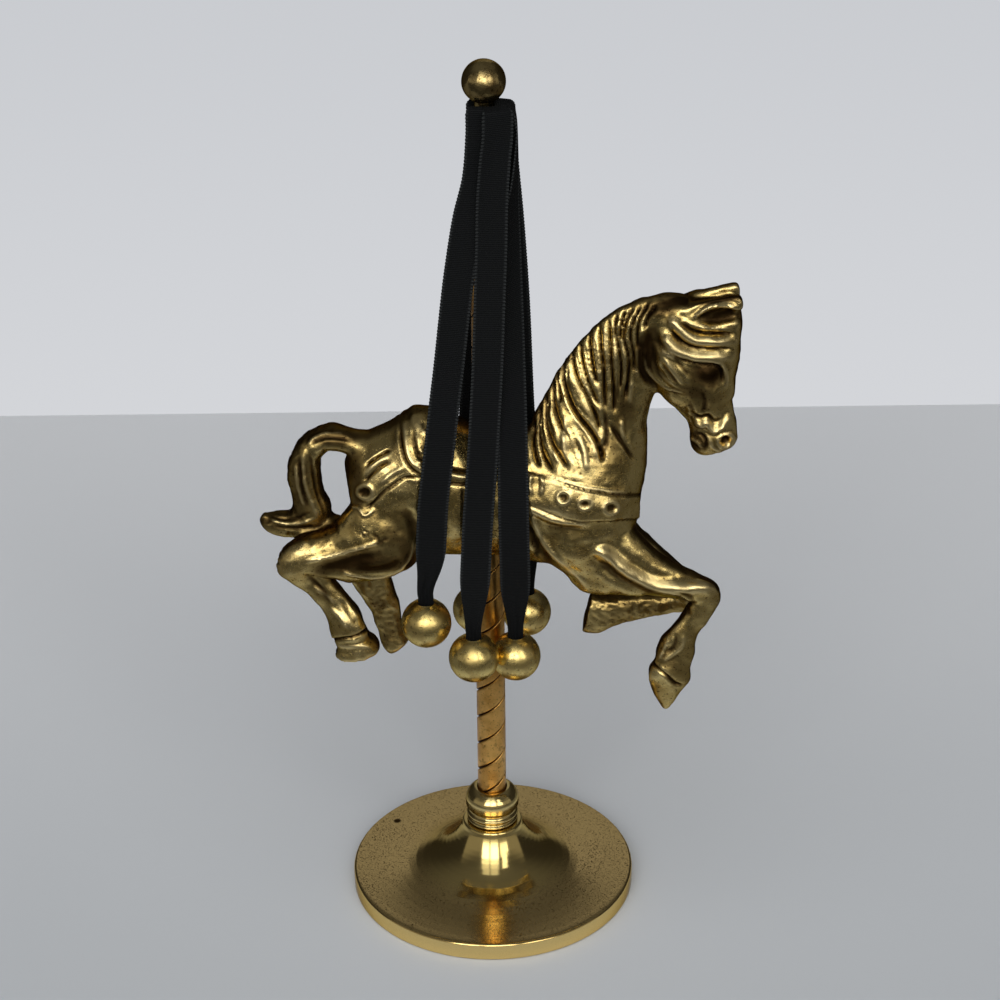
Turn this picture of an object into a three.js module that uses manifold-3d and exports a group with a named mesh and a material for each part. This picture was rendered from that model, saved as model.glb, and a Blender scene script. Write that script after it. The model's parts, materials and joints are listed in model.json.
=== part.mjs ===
// Carousel horse: a cast brass horse on a twisted brass pole, with ribbons and balls, on a turned base.
// Millimetres. The origin is the middle of the base's underside, +Z is up and the horse faces +X.
import * as THREE from 'three';
import { mergeVertices } from 'three/addons/utils/BufferGeometryUtils.js';
import Module from 'manifold-3d';

const wasm = await Module();
wasm.setup();

// Turned parts
const baseRadius = 50;
const rimHeight = 6.6;
const coneTopRadius = 10.6;
const coneTop = 25.4;
const poleRadius = 5;
const poleFoot = 9;
const poleTop = 290.6;
const collarTop = 39;
const boreRadius = 5.3;

// Balls and ribbons
const finialRadius = 7;
const finialHeight = 300.4;
const ballRadius = 8.5;
const ballHole = 2.9;
const ballHoleDepth = 4.5;
const ribbonWidth = 9.8;
const ribbonThickness = 0.7;
const ribbonTop = 292.2;
const ribbonTuck = 2.2;

const group = new THREE.Group();
group.name = 'carousel_horse';

function material(color, roughness, metalness) {
  return new THREE.MeshStandardMaterial({ color, roughness, metalness });
}

function addNode(name, geometry, color, roughness, metalness) {
  const mesh = new THREE.Mesh(geometry, material(color, roughness, metalness));
  mesh.name = name;
  group.add(mesh);
  return mesh;
}

// Closed body for joining and cutting, from a geometry's own corners and faces
function toSolid(geometry) {
  const bare = geometry.clone();
  bare.deleteAttribute('normal');
  bare.deleteAttribute('uv');
  const welded = mergeVertices(bare, 1e-4);
  return new wasm.Manifold(new wasm.Mesh({
    numProp: 3,
    vertProperties: new Float32Array(welded.attributes.position.array),
    triVerts: new Uint32Array(welded.index.array),
  }));
}

function toGeometry(solid) {
  const mesh = solid.getMesh();
  const geometry = new THREE.BufferGeometry();
  geometry.setAttribute('position', new THREE.BufferAttribute(Float32Array.from(mesh.vertProperties), 3));
  geometry.setIndex(Array.from(mesh.triVerts));
  geometry.computeVertexNormals();
  return geometry;
}

function place(geometry, x, y, z) {
  geometry.translate(x, y, z);
  return geometry;
}

function upright(geometry) {
  geometry.rotateX(Math.PI / 2);
  return geometry;
}

// Turned body: profile as [radius, height] pairs, starting and ending on the axis or closed on itself
function turned(profile, segments) {
  const points = profile.map(([r, z]) => new THREE.Vector2(r, z));
  return upright(new THREE.LatheGeometry(points, segments));
}

// Smooth values between stations: every number of a station follows a Catmull-Rom curve
function smooth(stations, steps) {
  const rows = [];
  const last = stations.length - 1;
  for (let i = 0; i < last; i += 1) {
    const [a, b, c, d] = [i - 1, i, i + 1, i + 2].map((k) => stations[Math.min(Math.max(k, 0), last)]);
    for (let s = 0; s < steps; s += 1) {
      const t = s / steps;
      rows.push(b.map((_, k) => 0.5 * (2 * b[k] + (c[k] - a[k]) * t
        + (2 * a[k] - 5 * b[k] + 4 * c[k] - d[k]) * t * t
        + (3 * b[k] - a[k] - 3 * c[k] + d[k]) * t * t * t)));
    }
  }
  rows.push(stations[last].slice());
  return rows;
}

// Closed skin over a row of rings that all have the same number of corners
function skin(rings) {
  const sides = rings[0].length;
  const corners = rings.flat();
  const faces = [];
  for (let i = 0; i + 1 < rings.length; i += 1) {
    for (let j = 0; j < sides; j += 1) {
      const a = i * sides + j;
      const b = i * sides + (j + 1) % sides;
      faces.push(a, b, a + sides, b, b + sides, a + sides);
    }
  }
  for (const [ring, flip] of [[0, true], [rings.length - 1, false]]) {
    const middle = new THREE.Vector3();
    rings[ring].forEach((p) => middle.addScaledVector(p, 1 / sides));
    const centre = corners.length;
    corners.push(middle);
    for (let j = 0; j < sides; j += 1) {
      const a = ring * sides + j;
      const b = ring * sides + (j + 1) % sides;
      faces.push(...(flip ? [b, a, centre] : [a, b, centre]));
    }
  }
  const geometry = new THREE.BufferGeometry();
  geometry.setAttribute('position', new THREE.Float32BufferAttribute(corners.flatMap((p) => p.toArray()), 3));
  geometry.setIndex(faces);
  return outward(geometry);
}

// Faces turned to point outward: a body whose signed volume is negative is turned inside out
function outward(geometry) {
  const p = geometry.attributes.position;
  const index = Array.from(geometry.index.array);
  const [a, b, c] = [new THREE.Vector3(), new THREE.Vector3(), new THREE.Vector3()];
  let volume = 0;
  for (let i = 0; i < index.length; i += 3) {
    a.fromBufferAttribute(p, index[i]);
    b.fromBufferAttribute(p, index[i + 1]);
    c.fromBufferAttribute(p, index[i + 2]);
    volume += a.dot(b.cross(c));
  }
  if (volume < 0) {
    for (let i = 0; i < index.length; i += 3) {
      [index[i + 1], index[i + 2]] = [index[i + 2], index[i + 1]];
    }
    geometry.setIndex(index);
  }
  geometry.computeVertexNormals();
  return geometry;
}

// Limb, trunk, neck, head or tail. A station is [x, z, y, half height in the side view, half width].
// A flat inner face is where the casting was split: low and high limit the width.
// extra makes the whole body that much larger all round.
function limb(stations, { steps = 2, sides = 10, low = -100, high = 100, extra = 0 } = {}) {
  const rows = smooth(stations, steps);
  const rings = rows.map((row, i) => {
    const before = rows[Math.max(i - 1, 0)];
    const after = rows[Math.min(i + 1, rows.length - 1)];
    const along = new THREE.Vector2(after[0] - before[0], after[1] - before[1]).normalize();
    const [x, z, y, rise, wide] = row;
    const ring = [];
    for (let j = 0; j < sides; j += 1) {
      const turn = (j / sides) * 2 * Math.PI;
      const out = (rise + extra) * Math.cos(turn);
      const side = Math.min(Math.max(y + (wide + extra) * Math.sin(turn), low), high);
      ring.push(new THREE.Vector3(x - along.y * out, side, z + along.x * out));
    }
    return ring;
  });
  return toSolid(skin(rings));
}

// Base: flat disc with a straight rim, its top sweeping up into a trumpet-shaped cone, bored for the pole
addNode('base', turned([
  [0, 0], [baseRadius - 0.8, 0], [baseRadius, 0.8],
  [baseRadius, rimHeight - 0.7], [baseRadius - 0.7, rimHeight],
  [44, 6.75], [37, 7.1], [31, 7.7], [26, 9], [22, 10.8], [18.5, 13.2], [15.5, 16.1], [13.2, 19.2],
  [11.6, 22.2], [coneTopRadius, coneTop - 0.4], [coneTopRadius - 0.6, coneTop], [boreRadius, coneTop],
  [boreRadius, poleFoot - 0.3], [0, poleFoot - 0.3],
], 32), '#8f7a3c', 0.4, 1);

// Collar: one turned ring on the cone, with two thin ridges, a cove, a straight band and a dome
addNode('collar', turned([
  [boreRadius, 25.7], [8.6, 25.7], [8.9, 26.4], [8.3, 27], [8.3, 27.5], [9, 28.3], [9, 28.9], [8.3, 29.6],
  [8.2, 30.6], [8.9, 31.6], [9.3, 32.2], [9.3, 34.9], [9.1, 36], [8.5, 37.2], [7.4, 38.3], [6.2, collarTop],
  [boreRadius, collarTop], [boreRadius, 25.7],
], 24), '#b59a45', 0.25, 1);

// Pole: from its socket in the base, through the horse, to the finial ball
addNode('pole', place(
  upright(new THREE.CylinderGeometry(poleRadius, poleRadius, poleTop - poleFoot, 36)),
  0, 0, (poleTop + poleFoot) / 2,
), '#a9763a', 0.38, 1);

// Finial: a ball on a short neck that stands on the pole's end
const finialNeck = upright(new THREE.CylinderGeometry(3.1, 3.1, 6, 14));
addNode('finial_ball', toGeometry(
  toSolid(place(new THREE.SphereGeometry(finialRadius, 18, 10), 0, 0, finialHeight))
    .add(toSolid(place(finialNeck, 0, 0, poleTop + 3.3))),
), '#8a6f33', 0.3, 1);

// Horse: one casting, its trunk and neck also made a little larger for the strap and blanket cut from them
const trunkStations = [
  [-46, 158.8, 0, 7, 5], [-44.8, 158.9, 0, 13.4, 9], [-40.5, 159.4, 0, 19.8, 12],
  [-34, 159.4, 0, 24.6, 13.6], [-26, 160.6, 0, 28, 14.4], [-21, 160.4, 0, 27.8, 14.6],
  [-15, 159, 0, 25.6, 14.6], [-8, 157.8, 0, 23.9, 14.6], [2, 157, 0, 23.4, 14.8],
  [13, 156, 0, 23.4, 14.6], [24, 153.5, 0, 23.5, 14.2], [35, 150.5, 0, 21, 12.6],
  [44, 150, 0, 13.6, 10], [49.6, 150, 0, 7, 6],
];
const neckStations = [
  [34, 148, 0, 16.6, 15.4], [32.6, 162, 0, 19.6, 14.6], [33.6, 178, 0, 19.6, 11],
  [36.6, 190, 0, 17.2, 9], [42.4, 202, 0, 15.6, 8], [50, 210.6, 0, 14.6, 7.6],
  [60, 216, 0, 12.4, 7.4], [67, 218, 0, 9, 6.6],
];
const trunk = (extra = 0) => limb(trunkStations, { sides: 14, extra });
const neck = (extra = 0) => limb(neckStations, { sides: 12, extra });
const chest = limb([
  [18, 144, 0, 9, 12.6], [24, 143, 0, 12.5, 15.2], [32, 142, 0, 14, 16], [41, 145, 0, 10, 12.6],
]);
const head = limb([
  [71.4, 225, 0, 9.6, 4.2], [69.2, 221, 0, 13, 6.8], [67.4, 213, 0, 14.8, 8],
  [67.2, 205, 0, 15.2, 8], [68.6, 198, 0, 13.3, 7.5], [70.8, 192, 0, 10.4, 6.5],
  [73, 186, 0, 8.4, 5.5], [74.4, 180, 0, 8, 5.2], [74.8, 175.6, 0, 8, 5.3], [75.6, 172.4, 0, 6, 4],
], { sides: 12 });
const brow = limb([
  [78.4, 225, 0, 3.2, 4.4], [78.6, 213, 0, 4, 6], [77.4, 199, 0, 4, 4.8], [77.6, 192, 0, 3.6, 4.6],
], { sides: 8 });
const earStations = [
  [60, 222, 3.4, 3.6, 2.4], [68, 224.6, 4, 3.6, 2.2], [75, 226.2, 4.4, 3.1, 2],
  [81.4, 227.2, 4.6, 2.4, 1.7],
];
const ear = (side) => limb(earStations.map(([x, z, y, a, b]) => [x, z, side * y, a, b]), { sides: 8 });
const tail = limb([
  [-39, 172, 0, 6, 6], [-44.5, 175.8, 0, 4.4, 5.6], [-53, 177.6, 0, 4, 5.4], [-59.2, 173.6, 0, 4.8, 5.6],
  [-61.4, 165, 0, 5.5, 5.8], [-60.4, 157, 0, 5.6, 5.8], [-59.6, 150, 0, 6.8, 5.8],
  [-65.4, 145.9, 0, 4.9, 5], [-72, 146.2, 0, 4.2, 3.8], [-76, 148.2, 0, 2, 1.8],
]);
const tailRoot = limb([
  [-62, 147.4, 0, 4.6, 4.6], [-57, 146, 0, 4, 4.6], [-50, 145.4, -2, 3.4, 4.4],
], { sides: 8 });
const nearFore = limb([
  [26, 152, -6, 10, 6], [34, 143.5, -7.4, 13, 7.4], [44, 135.6, -8.4, 11, 6.8],
  [54, 129.8, -9, 7.8, 5.8], [63, 126, -9.2, 5.8, 5], [70, 123.8, -9.2, 5, 4.8],
  [73.4, 121.4, -9.2, 4.6, 4.4], [71.6, 116.4, -9.2, 4.4, 4], [68.8, 111.4, -9.2, 4.2, 3.8],
  [66, 106.2, -9.2, 4.7, 3.6], [63.6, 100.8, -9.2, 6.6, 4.2], [62.5, 95, -9.2, 6.2, 4],
  [61.2, 89.8, -9.2, 7.2, 4.6], [60.2, 84, -9.2, 4.9, 4], [60.2, 76.6, -9.2, 1.4, 1.6],
], { high: -5 });
const elbow = limb([
  [31, 137, -6.5, 8, 6.5], [34, 131.4, -8, 8.2, 6.2], [38, 129.6, -8.6, 7.2, 5.8],
  [44, 128.6, -9, 6.2, 5.4], [52, 126.8, -9, 5, 5],
], { sides: 8 });
const farFore = limb([
  [30, 148, 6, 11, 6], [42, 136.4, 7.6, 8, 6], [51.8, 128.4, 8.4, 6, 5], [60, 120.6, 8.6, 5.4, 4.6],
  [66, 115, 8.6, 4.8, 4.4], [67.4, 110, 8.6, 4, 3.8], [62, 108.2, 8.6, 4, 3.4],
  [52, 107.2, 8.6, 5, 3.6], [42, 105.2, 8.6, 6, 4], [37, 104.2, 8.6, 7.2, 4.4], [33.4, 104.8, 8.6, 7.4, 4],
], { low: 4.6 });
const nearHind = limb([
  [-28, 152, -7, 12, 7], [-35, 146, -8.2, 15, 8], [-45, 139.8, -8.6, 12, 6.8],
  [-54, 138.4, -8.6, 8.4, 5.6], [-61.5, 138, -8.8, 6.8, 5], [-65.6, 136, -8.8, 5.7, 4.6],
  [-62.8, 132, -8.8, 5.3, 4.2], [-58.2, 127.8, -8.8, 4.9, 3.9], [-53.8, 121.8, -8.8, 4.8, 3.8],
  [-50, 115.8, -8.8, 5.5, 4], [-48.2, 109.4, -8.8, 5.9, 4.2], [-46.8, 105.2, -8.8, 6, 4.2],
  [-45.6, 102.2, -8.8, 7.8, 4.9], [-45.2, 99.9, -8.8, 7.4, 4.8],
], { high: -4.6 });
const farHind = limb([
  [-30, 150, 6, 12, 6], [-37, 137, 7, 12.6, 6.6], [-41, 124, 8, 8, 5.6], [-38.8, 115, 8.4, 5.8, 4.4],
  [-35.9, 107.4, 8.6, 5.2, 4], [-34.8, 100.6, 8.6, 4.3, 3.8], [-33.6, 96, 8.6, 4.8, 4.4],
  [-31.6, 92.8, 8.6, 4.6, 4.4],
], { low: 4.4 });
const strapHeight = 8.4;
const strapSlab = toSolid(new THREE.BoxGeometry(46, 60, strapHeight).rotateY(0.35).translate(35, 0, 157));
const strap = trunk(0.9).add(neck(0.9)).intersect(strapSlab);
const blanketEdge = [
  [-28, 196], [-29, 187], [-32.5, 182], [-31, 175], [-26, 168.6], [-18, 164], [-8, 161.6],
  [4, 161.6], [12, 164.6], [15, 171], [15, 196],
].map(([x, z]) => new THREE.Vector2(x, z));
const blanketShape = new THREE.Shape(blanketEdge);
const blanketBlock = upright(new THREE.ExtrudeGeometry(blanketShape, { depth: 60, bevelEnabled: false }));
const blanket = trunk(0.8).intersect(toSolid(place(blanketBlock, 0, 30, 0)));
const holeGeometry = upright(new THREE.CylinderGeometry(boreRadius, boreRadius, 90, 28));
const poleHole = toSolid(place(holeGeometry, 0, 0, 158));
let casting = trunk().add(neck());
const frontEnd = [chest, head, brow, ear(-1), ear(1), nearFore, elbow, farFore];
for (const piece of [...frontEnd, nearHind, farHind, tail, tailRoot, strap, blanket]) {
  casting = casting.add(piece);
}
addNode('horse', toGeometry(casting.subtract(poleHole).simplify(0.12)), '#8b6f32', 0.35, 1);

// Hanging balls and the ribbon that carries each one.
// A ribbon station is [x, y, z, direction its outer face looks in degrees].
const hangings = {
  a: {
    ball: [-21.5, -14, 114.3],
    ribbon: [[-0.8, -5.9, ribbonTop, 262], [-0.9, -6.1, 284, 262], [-2.1, -6.4, 271, 262],
      [-5.3, -7.2, 258, 260], [-8.1, -8.2, 241.5, 258], [-9.8, -9.2, 229, 258],
      [-12.3, -11, 208, 260], [-14, -13.2, 195.4, 262],
      [-15.4, -15.4, 184, 266], [-16.8, -16.6, 173, 268], [-18.4, -16.6, 159, 270],
      [-19.7, -15.4, 138.5, 270]],
  },
  b: {
    ball: [-5.6, -20.5, 104.4],
    ribbon: [[4.2, -7.7, ribbonTop, 285], [4, -7.9, 284, 284], [3.2, -8.2, 277, 280], [2.2, -8.8, 263.5, 274],
      [1.8, -9.6, 249, 271], [1.2, -10.8, 234.6, 270], [0, -14, 206.6, 270], [-1.5, -16.6, 183.3, 270],
      [-2.5, -17.6, 169, 270], [-3.5, -18, 157, 270], [-4.7, -19.6, 135.9, 270]],
  },
  c: {
    ball: [8.6, -11.5, 99.4],
    ribbon: [[9.7, -0.6, ribbonTop, 0], [10.2, -0.8, 284, 0], [9.6, -1.6, 270, -10], [8.7, -2.6, 260, -22],
      [8, -4.4, 240, -42], [8, -6.8, 222, -52], [8, -10, 203, -62], [8, -13.4, 184, -74],
      [8.1, -16.6, 166, -83], [8.2, -17, 152, -88], [8.5, -15.2, 135, -90], [8.6, -12.6, 120, -90]],
  },
  d: {
    ball: [12.9, 18, 99.6],
    ribbon: [[5, 7.4, ribbonTop, 75], [5.2, 7.6, 284, 75], [6, 8, 270, 76],
      [7.6, 9, 250, 78], [9.3, 11, 221, 82], [10.4, 14, 189, 86],
      [11.2, 16.4, 170, 88], [11.8, 17.6, 152, 90], [12.6, 18, 126, 90]],
  },
  e: {
    ball: [-4.5, 18, 101],
    ribbon: [[-0.6, 6.1, ribbonTop, 95], [-0.7, 6.3, 284, 95], [-1, 7, 270, 95],
      [-1.6, 8.4, 250, 94], [-2.6, 11, 217, 93], [-3.6, 13.8, 193, 92],
      [-4.5, 15.6, 178, 91], [-4.8, 17.4, 160, 90], [-4.6, 18, 126, 90]],
  },
};

// Ribbon: an even strip that narrows just above its ball and ends inside the ball's hole
function ribbon(stations, [bx, by, bz]) {
  const holeLip = bz + Math.sqrt(ballRadius ** 2 - ballHole ** 2);
  const narrow = 4.4;
  const facing = stations[stations.length - 1][3];
  const hang = [
    [bx, by, holeLip + 9, facing, ribbonWidth - 0.8],
    [bx, by, holeLip + 1, facing, narrow],
    [bx, by, holeLip - ribbonTuck, facing, narrow],
  ];
  const rows = smooth([...stations.map((row) => [...row, ribbonWidth]), ...hang], 2);
  const rings = rows.map(([x, y, z, face, width]) => {
    const turn = THREE.MathUtils.degToRad(face);
    const out = new THREE.Vector3(Math.cos(turn), Math.sin(turn), 0);
    const side = new THREE.Vector3(-out.y, out.x, 0);
    return [[-1, -1], [1, -1], [1, 1], [-1, 1]].map(([s, o]) => new THREE.Vector3(x, y, z)
      .addScaledVector(side, (s * width) / 2)
      .addScaledVector(out, (o * ribbonThickness) / 2));
  });
  return skin(rings);
}

for (const [letter, { ball, ribbon: stations }] of Object.entries(hangings)) {
  const hole = upright(new THREE.CylinderGeometry(ballHole, ballHole, 20, 12));
  const body = toSolid(new THREE.SphereGeometry(ballRadius, 16, 9))
    .subtract(toSolid(place(hole, 0, 0, ballRadius - ballHoleDepth + 10)));
  addNode(`ball_${letter}`, place(toGeometry(body), ...ball), '#9a7d3b', 0.35, 1);
  addNode(`ribbon_${letter}`, ribbon(stations, ball), '#17181c', 0.9, 0);
}

export default group;
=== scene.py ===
import json
import math

import bpy
import numpy as np
from mathutils import Matrix, Vector

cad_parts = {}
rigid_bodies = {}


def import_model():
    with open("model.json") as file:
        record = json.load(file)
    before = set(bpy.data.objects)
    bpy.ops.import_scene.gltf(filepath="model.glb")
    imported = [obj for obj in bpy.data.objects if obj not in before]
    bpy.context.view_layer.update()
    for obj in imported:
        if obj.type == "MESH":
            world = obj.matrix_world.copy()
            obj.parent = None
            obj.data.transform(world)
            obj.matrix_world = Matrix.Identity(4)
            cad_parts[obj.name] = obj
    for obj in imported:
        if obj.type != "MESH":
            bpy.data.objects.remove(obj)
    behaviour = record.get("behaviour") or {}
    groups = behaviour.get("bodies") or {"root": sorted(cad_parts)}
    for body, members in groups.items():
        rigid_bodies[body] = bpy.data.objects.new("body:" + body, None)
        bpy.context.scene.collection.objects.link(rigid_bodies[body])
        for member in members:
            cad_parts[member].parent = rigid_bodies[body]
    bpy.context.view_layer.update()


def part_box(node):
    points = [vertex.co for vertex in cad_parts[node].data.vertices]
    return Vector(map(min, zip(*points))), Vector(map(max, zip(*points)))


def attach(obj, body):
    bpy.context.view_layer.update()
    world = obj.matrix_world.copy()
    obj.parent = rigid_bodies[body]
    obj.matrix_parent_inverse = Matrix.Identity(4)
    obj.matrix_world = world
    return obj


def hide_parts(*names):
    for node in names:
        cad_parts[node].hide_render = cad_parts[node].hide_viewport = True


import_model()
mm = 0.001


# A shader socket that can stand in a sum: 1 - dirt, dirt * 0.4 + grain
class Wire:
    def __init__(self, tree, socket=None):
        self.tree = tree
        self.socket = socket

    def node(self, kind, settings=None, sockets=None, out=0):
        made = self.tree.nodes.new(kind)
        for name, value in (settings or {}).items():
            setattr(made, name, value)
        for name, value in (sockets or {}).items():
            if isinstance(value, Wire):
                self.tree.links.new(value.socket, made.inputs[name])
            else:
                made.inputs[name].default_value = value
        return Wire(self.tree, made.outputs[out]) if made.outputs else made

    def math(self, operation, first, second=0.0):
        return self.node("ShaderNodeMath", {"operation": operation}, {0: first, 1: second})

    def __add__(self, other):
        return self.math("ADD", self, other)

    def __radd__(self, other):
        return self.math("ADD", other, self)

    def __sub__(self, other):
        return self.math("SUBTRACT", self, other)

    def __rsub__(self, other):
        return self.math("SUBTRACT", other, self)

    def __mul__(self, other):
        return self.math("MULTIPLY", self, other)

    def __rmul__(self, other):
        return self.math("MULTIPLY", other, self)

    def __truediv__(self, other):
        return self.math("DIVIDE", self, other)

    def __pow__(self, other):
        return self.math("POWER", self, other)

    def limited(self):
        return self.node("ShaderNodeClamp", None, {0: self})

    # 0 below low, 1 above high, smooth between
    def rise(self, low, high):
        settings = {"interpolation_type": "SMOOTHSTEP"}
        return self.node("ShaderNodeMapRange", settings, {0: self, 1: low, 2: high, 3: 0.0, 4: 1.0})

    # 1 between low and high, with soft ends
    def band(self, low, high, soft):
        return self.rise(low - soft, low + soft) * (1 - self.rise(high - soft, high + soft))

    def mix(self, share, first, second):
        return self.node("ShaderNodeMix", {"data_type": "RGBA"}, {0: share, 6: first, 7: second}, 2)

    def noise(self, place, scale, detail, roughness=0.55):
        sockets = {"Vector": place, "Scale": scale, "Detail": detail, "Roughness": roughness}
        return self.node("ShaderNodeTexNoise", None, sockets)

    def place(self):
        return self.node("ShaderNodeTexCoord", None, None, "Object")

    def mark(self, name):
        return self.node("ShaderNodeAttribute", {"attribute_name": name}, None, "Fac")

    def parts(self):
        split = self.node("ShaderNodeSeparateXYZ", None, {0: self}).socket.node.outputs
        return [Wire(self.tree, split[i]) for i in range(3)]

    def stretched(self, place, amounts):
        return self.node("ShaderNodeVectorMath", {"operation": "MULTIPLY"}, {0: place, 1: amounts})

    def bump(self, height, distance, strength=1.0, before=None):
        sockets = {"Height": height, "Distance": distance, "Strength": strength}
        if before is not None:
            sockets["Normal"] = before
        return self.node("ShaderNodeBump", None, sockets)


def newFinish(name, plain):
    finish = bpy.data.materials.new(name)
    finish.use_nodes = True
    tree = finish.node_tree
    shader = tree.nodes["Principled BSDF"]
    for socket, value in plain.items():
        shader.inputs[socket].default_value = value
    return finish, Wire(tree), shader


def plug(start, shader, links):
    for socket, wire in links.items():
        start.tree.links.new(wire.socket, shader.inputs[socket])


def rgb(red, green, blue):
    return (red, green, blue, 1.0)


eye = {"place": (0, -0.80076, 0.57573), "down": 27.804, "right": 0.273, "roll": -0.565, "lens": 97.2}


# Camera: eye level above the stand, looking down on it
def makeCamera():
    down, right, roll = (math.radians(eye[k]) for k in ("down", "right", "roll"))
    ahead = Vector((math.sin(right) * math.cos(down), math.cos(right) * math.cos(down), -math.sin(down)))
    level = Vector((math.cos(right), -math.sin(right), 0))
    upward = level.cross(ahead)
    side = level * math.cos(roll) + upward * math.sin(roll)
    top = upward * math.cos(roll) - level * math.sin(roll)
    data = bpy.data.cameras.new("camera")
    data.lens = eye["lens"]
    data.sensor_width = 36
    camera = bpy.data.objects.new("camera", data)
    bpy.context.scene.collection.objects.link(camera)
    turn = Matrix((side, top, -ahead)).transposed().to_4x4()
    camera.matrix_world = Matrix.Translation(eye["place"]) @ turn
    bpy.context.scene.camera = camera


# Colours of the room, and where the table ends behind the stand, in metres
room = {
    "dark": rgb(0.028, 0.026, 0.024),
    "ceiling": rgb(0.10, 0.098, 0.092),
    "wall": rgb(0.275, 0.268, 0.26),
    "haze": rgb(0.25, 0.235, 0.205),
    "window": rgb(3.6, 3.5, 3.2),
    "seenHigh": rgb(0.585, 0.6, 0.63),
    "seenLow": rgb(0.66, 0.672, 0.70),
    "tableEnd": 0.385,
    "sun": 1.28,
    "sunSpread": 1.4,
    "sunTurn": (32, -10, 0),
}


# Studio: a pale wall behind, a tall window in panes above the viewer, the rest of the room dim.
# The bands are how far a thing lies sideways and upwards, against its distance in front.
def makeRoom():
    world = bpy.data.worlds.new("room")
    bpy.context.scene.world = world
    world.use_nodes = True
    tree = world.node_tree
    tree.nodes.clear()
    start = Wire(tree)
    way = start.node("ShaderNodeTexCoord", None, None, "Generated")
    x, y, z = way.parts()
    toFront = start.math("MAXIMUM", 0 - y, 0.05)
    across = x / toFront
    height = z / toFront
    front = (0 - y).rise(0.02, 0.1)
    panes = across.band(-0.62, 0.30, 0.03) * height.band(0.27, 2.2, 0.15)
    panes = panes * (1 - across.band(-0.19, -0.13, 0.01)) * (1 - height.band(0.9, 0.98, 0.02))
    small = across.band(0.52, 0.86, 0.03) * height.band(0.75, 1.5, 0.05)
    side = across.band(0.42, 1.05, 0.05) * height.band(0.3, 0.75, 0.08)
    glow = (panes * (1 - height.rise(0.75, 1.3) * 0.8) + (small + side) * 0.6) * front
    sideways = start.math("ABSOLUTE", x / start.math("MAXIMUM", y, 0.05))
    wall = y.rise(0.0, 0.1) * (1 - z.rise(0.615, 0.63)) * (1 - sideways.rise(0.30, 0.42))
    overhead = z.rise(0.35, 0.95)
    shade = start.mix(overhead, room["dark"], room["ceiling"])
    shade = start.mix(front * z.band(-0.12, 0.5, 0.2), shade, room["haze"])
    shade = start.mix(wall, shade, room["wall"])
    shade = start.mix(glow.limited(), shade, room["window"])
    seen = start.mix(z.rise(-0.47, -0.26), room["seenLow"], room["seenHigh"])
    camera = start.node("ShaderNodeLightPath", None, None, "Is Camera Ray")
    shown = start.mix(camera, shade, seen)
    background = start.node("ShaderNodeBackground", None, {"Color": shown, "Strength": 1.0})
    start.node("ShaderNodeOutputWorld", None, {"Surface": background})

    lamp = bpy.data.lights.new("softDay", "SUN")
    lamp.energy = room["sun"]
    lamp.angle = room["sunSpread"]
    lampObject = bpy.data.objects.new("softDay", lamp)
    bpy.context.scene.collection.objects.link(lampObject)
    lampObject.rotation_euler = [math.radians(turn) for turn in room["sunTurn"]]
    lampObject.visible_glossy = False
    bpy.context.scene.view_settings.view_transform = "Standard"


def makeFloor():
    wide, near, far = 7.0, -8.0, room["tableEnd"]
    corners = [(-wide, near, 0), (wide, near, 0), (wide, far, 0), (-wide, far, 0)]
    mesh = bpy.data.meshes.new("table")
    mesh.from_pydata(corners, [], [(0, 1, 2, 3)])
    table = bpy.data.objects.new("table", mesh)
    bpy.context.scene.collection.objects.link(table)
    finish, start, shader = newFinish("palePaper", {"Roughness": 0.75, "Specular IOR Level": 0.2})
    place = start.place()
    cloud = start.noise(place, 5.0, 2.0)
    depth = place.parts()[1]
    # Painted light: the table's tone is painted lighter farther back
    farther = (depth + (cloud - 0.5) * 0.06).rise(-0.16, 0.42)
    tone = start.mix(farther, rgb(0.565, 0.60, 0.655), rgb(0.70, 0.73, 0.79))
    # Painted shade seen only in reflections: to glossy rays the table darkens away from the stand and turns
    # nearly black in front of it
    away = start.node("ShaderNodeVectorMath", {"operation": "LENGTH"}, {0: place}, 1)
    mirrored = start.node("ShaderNodeLightPath", None, None, "Is Glossy Ray")
    tone = start.mix(mirrored * away.rise(0.06, 0.19), tone, rgb(0.16, 0.16, 0.16))
    tone = start.mix(mirrored * (0 - depth).rise(0.16, 0.30), tone, rgb(0.03, 0.03, 0.03))
    plug(start, shader, {"Base Color": tone})
    mesh.materials.append(finish)


# Catmull-Rom through rows of numbers
def smoothRows(rows, steps):
    rows = np.asarray(rows, float)
    padded = np.vstack([rows[:1], rows, rows[-1:]])
    a, b, c, d = padded[:-3], padded[1:-2], padded[2:-1], padded[3:]
    t = (np.arange(steps) / steps)[None, :, None]
    a, b, c, d = (p[:, None, :] for p in (a, b, c, d))
    curve = 0.5 * (2 * b + (c - a) * t + (2 * a - 5 * b + 4 * c - d) * t**2 + (3 * b - a - 3 * c + d) * t**3)
    return np.vstack([curve.reshape(-1, rows.shape[1]), rows[-1:]])


def blendIn(a, b, soft):
    share = np.clip(0.5 + 0.5 * (b - a) / soft, 0, 1)
    return b + (a - b) * share - soft * share * (1 - share)


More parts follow.
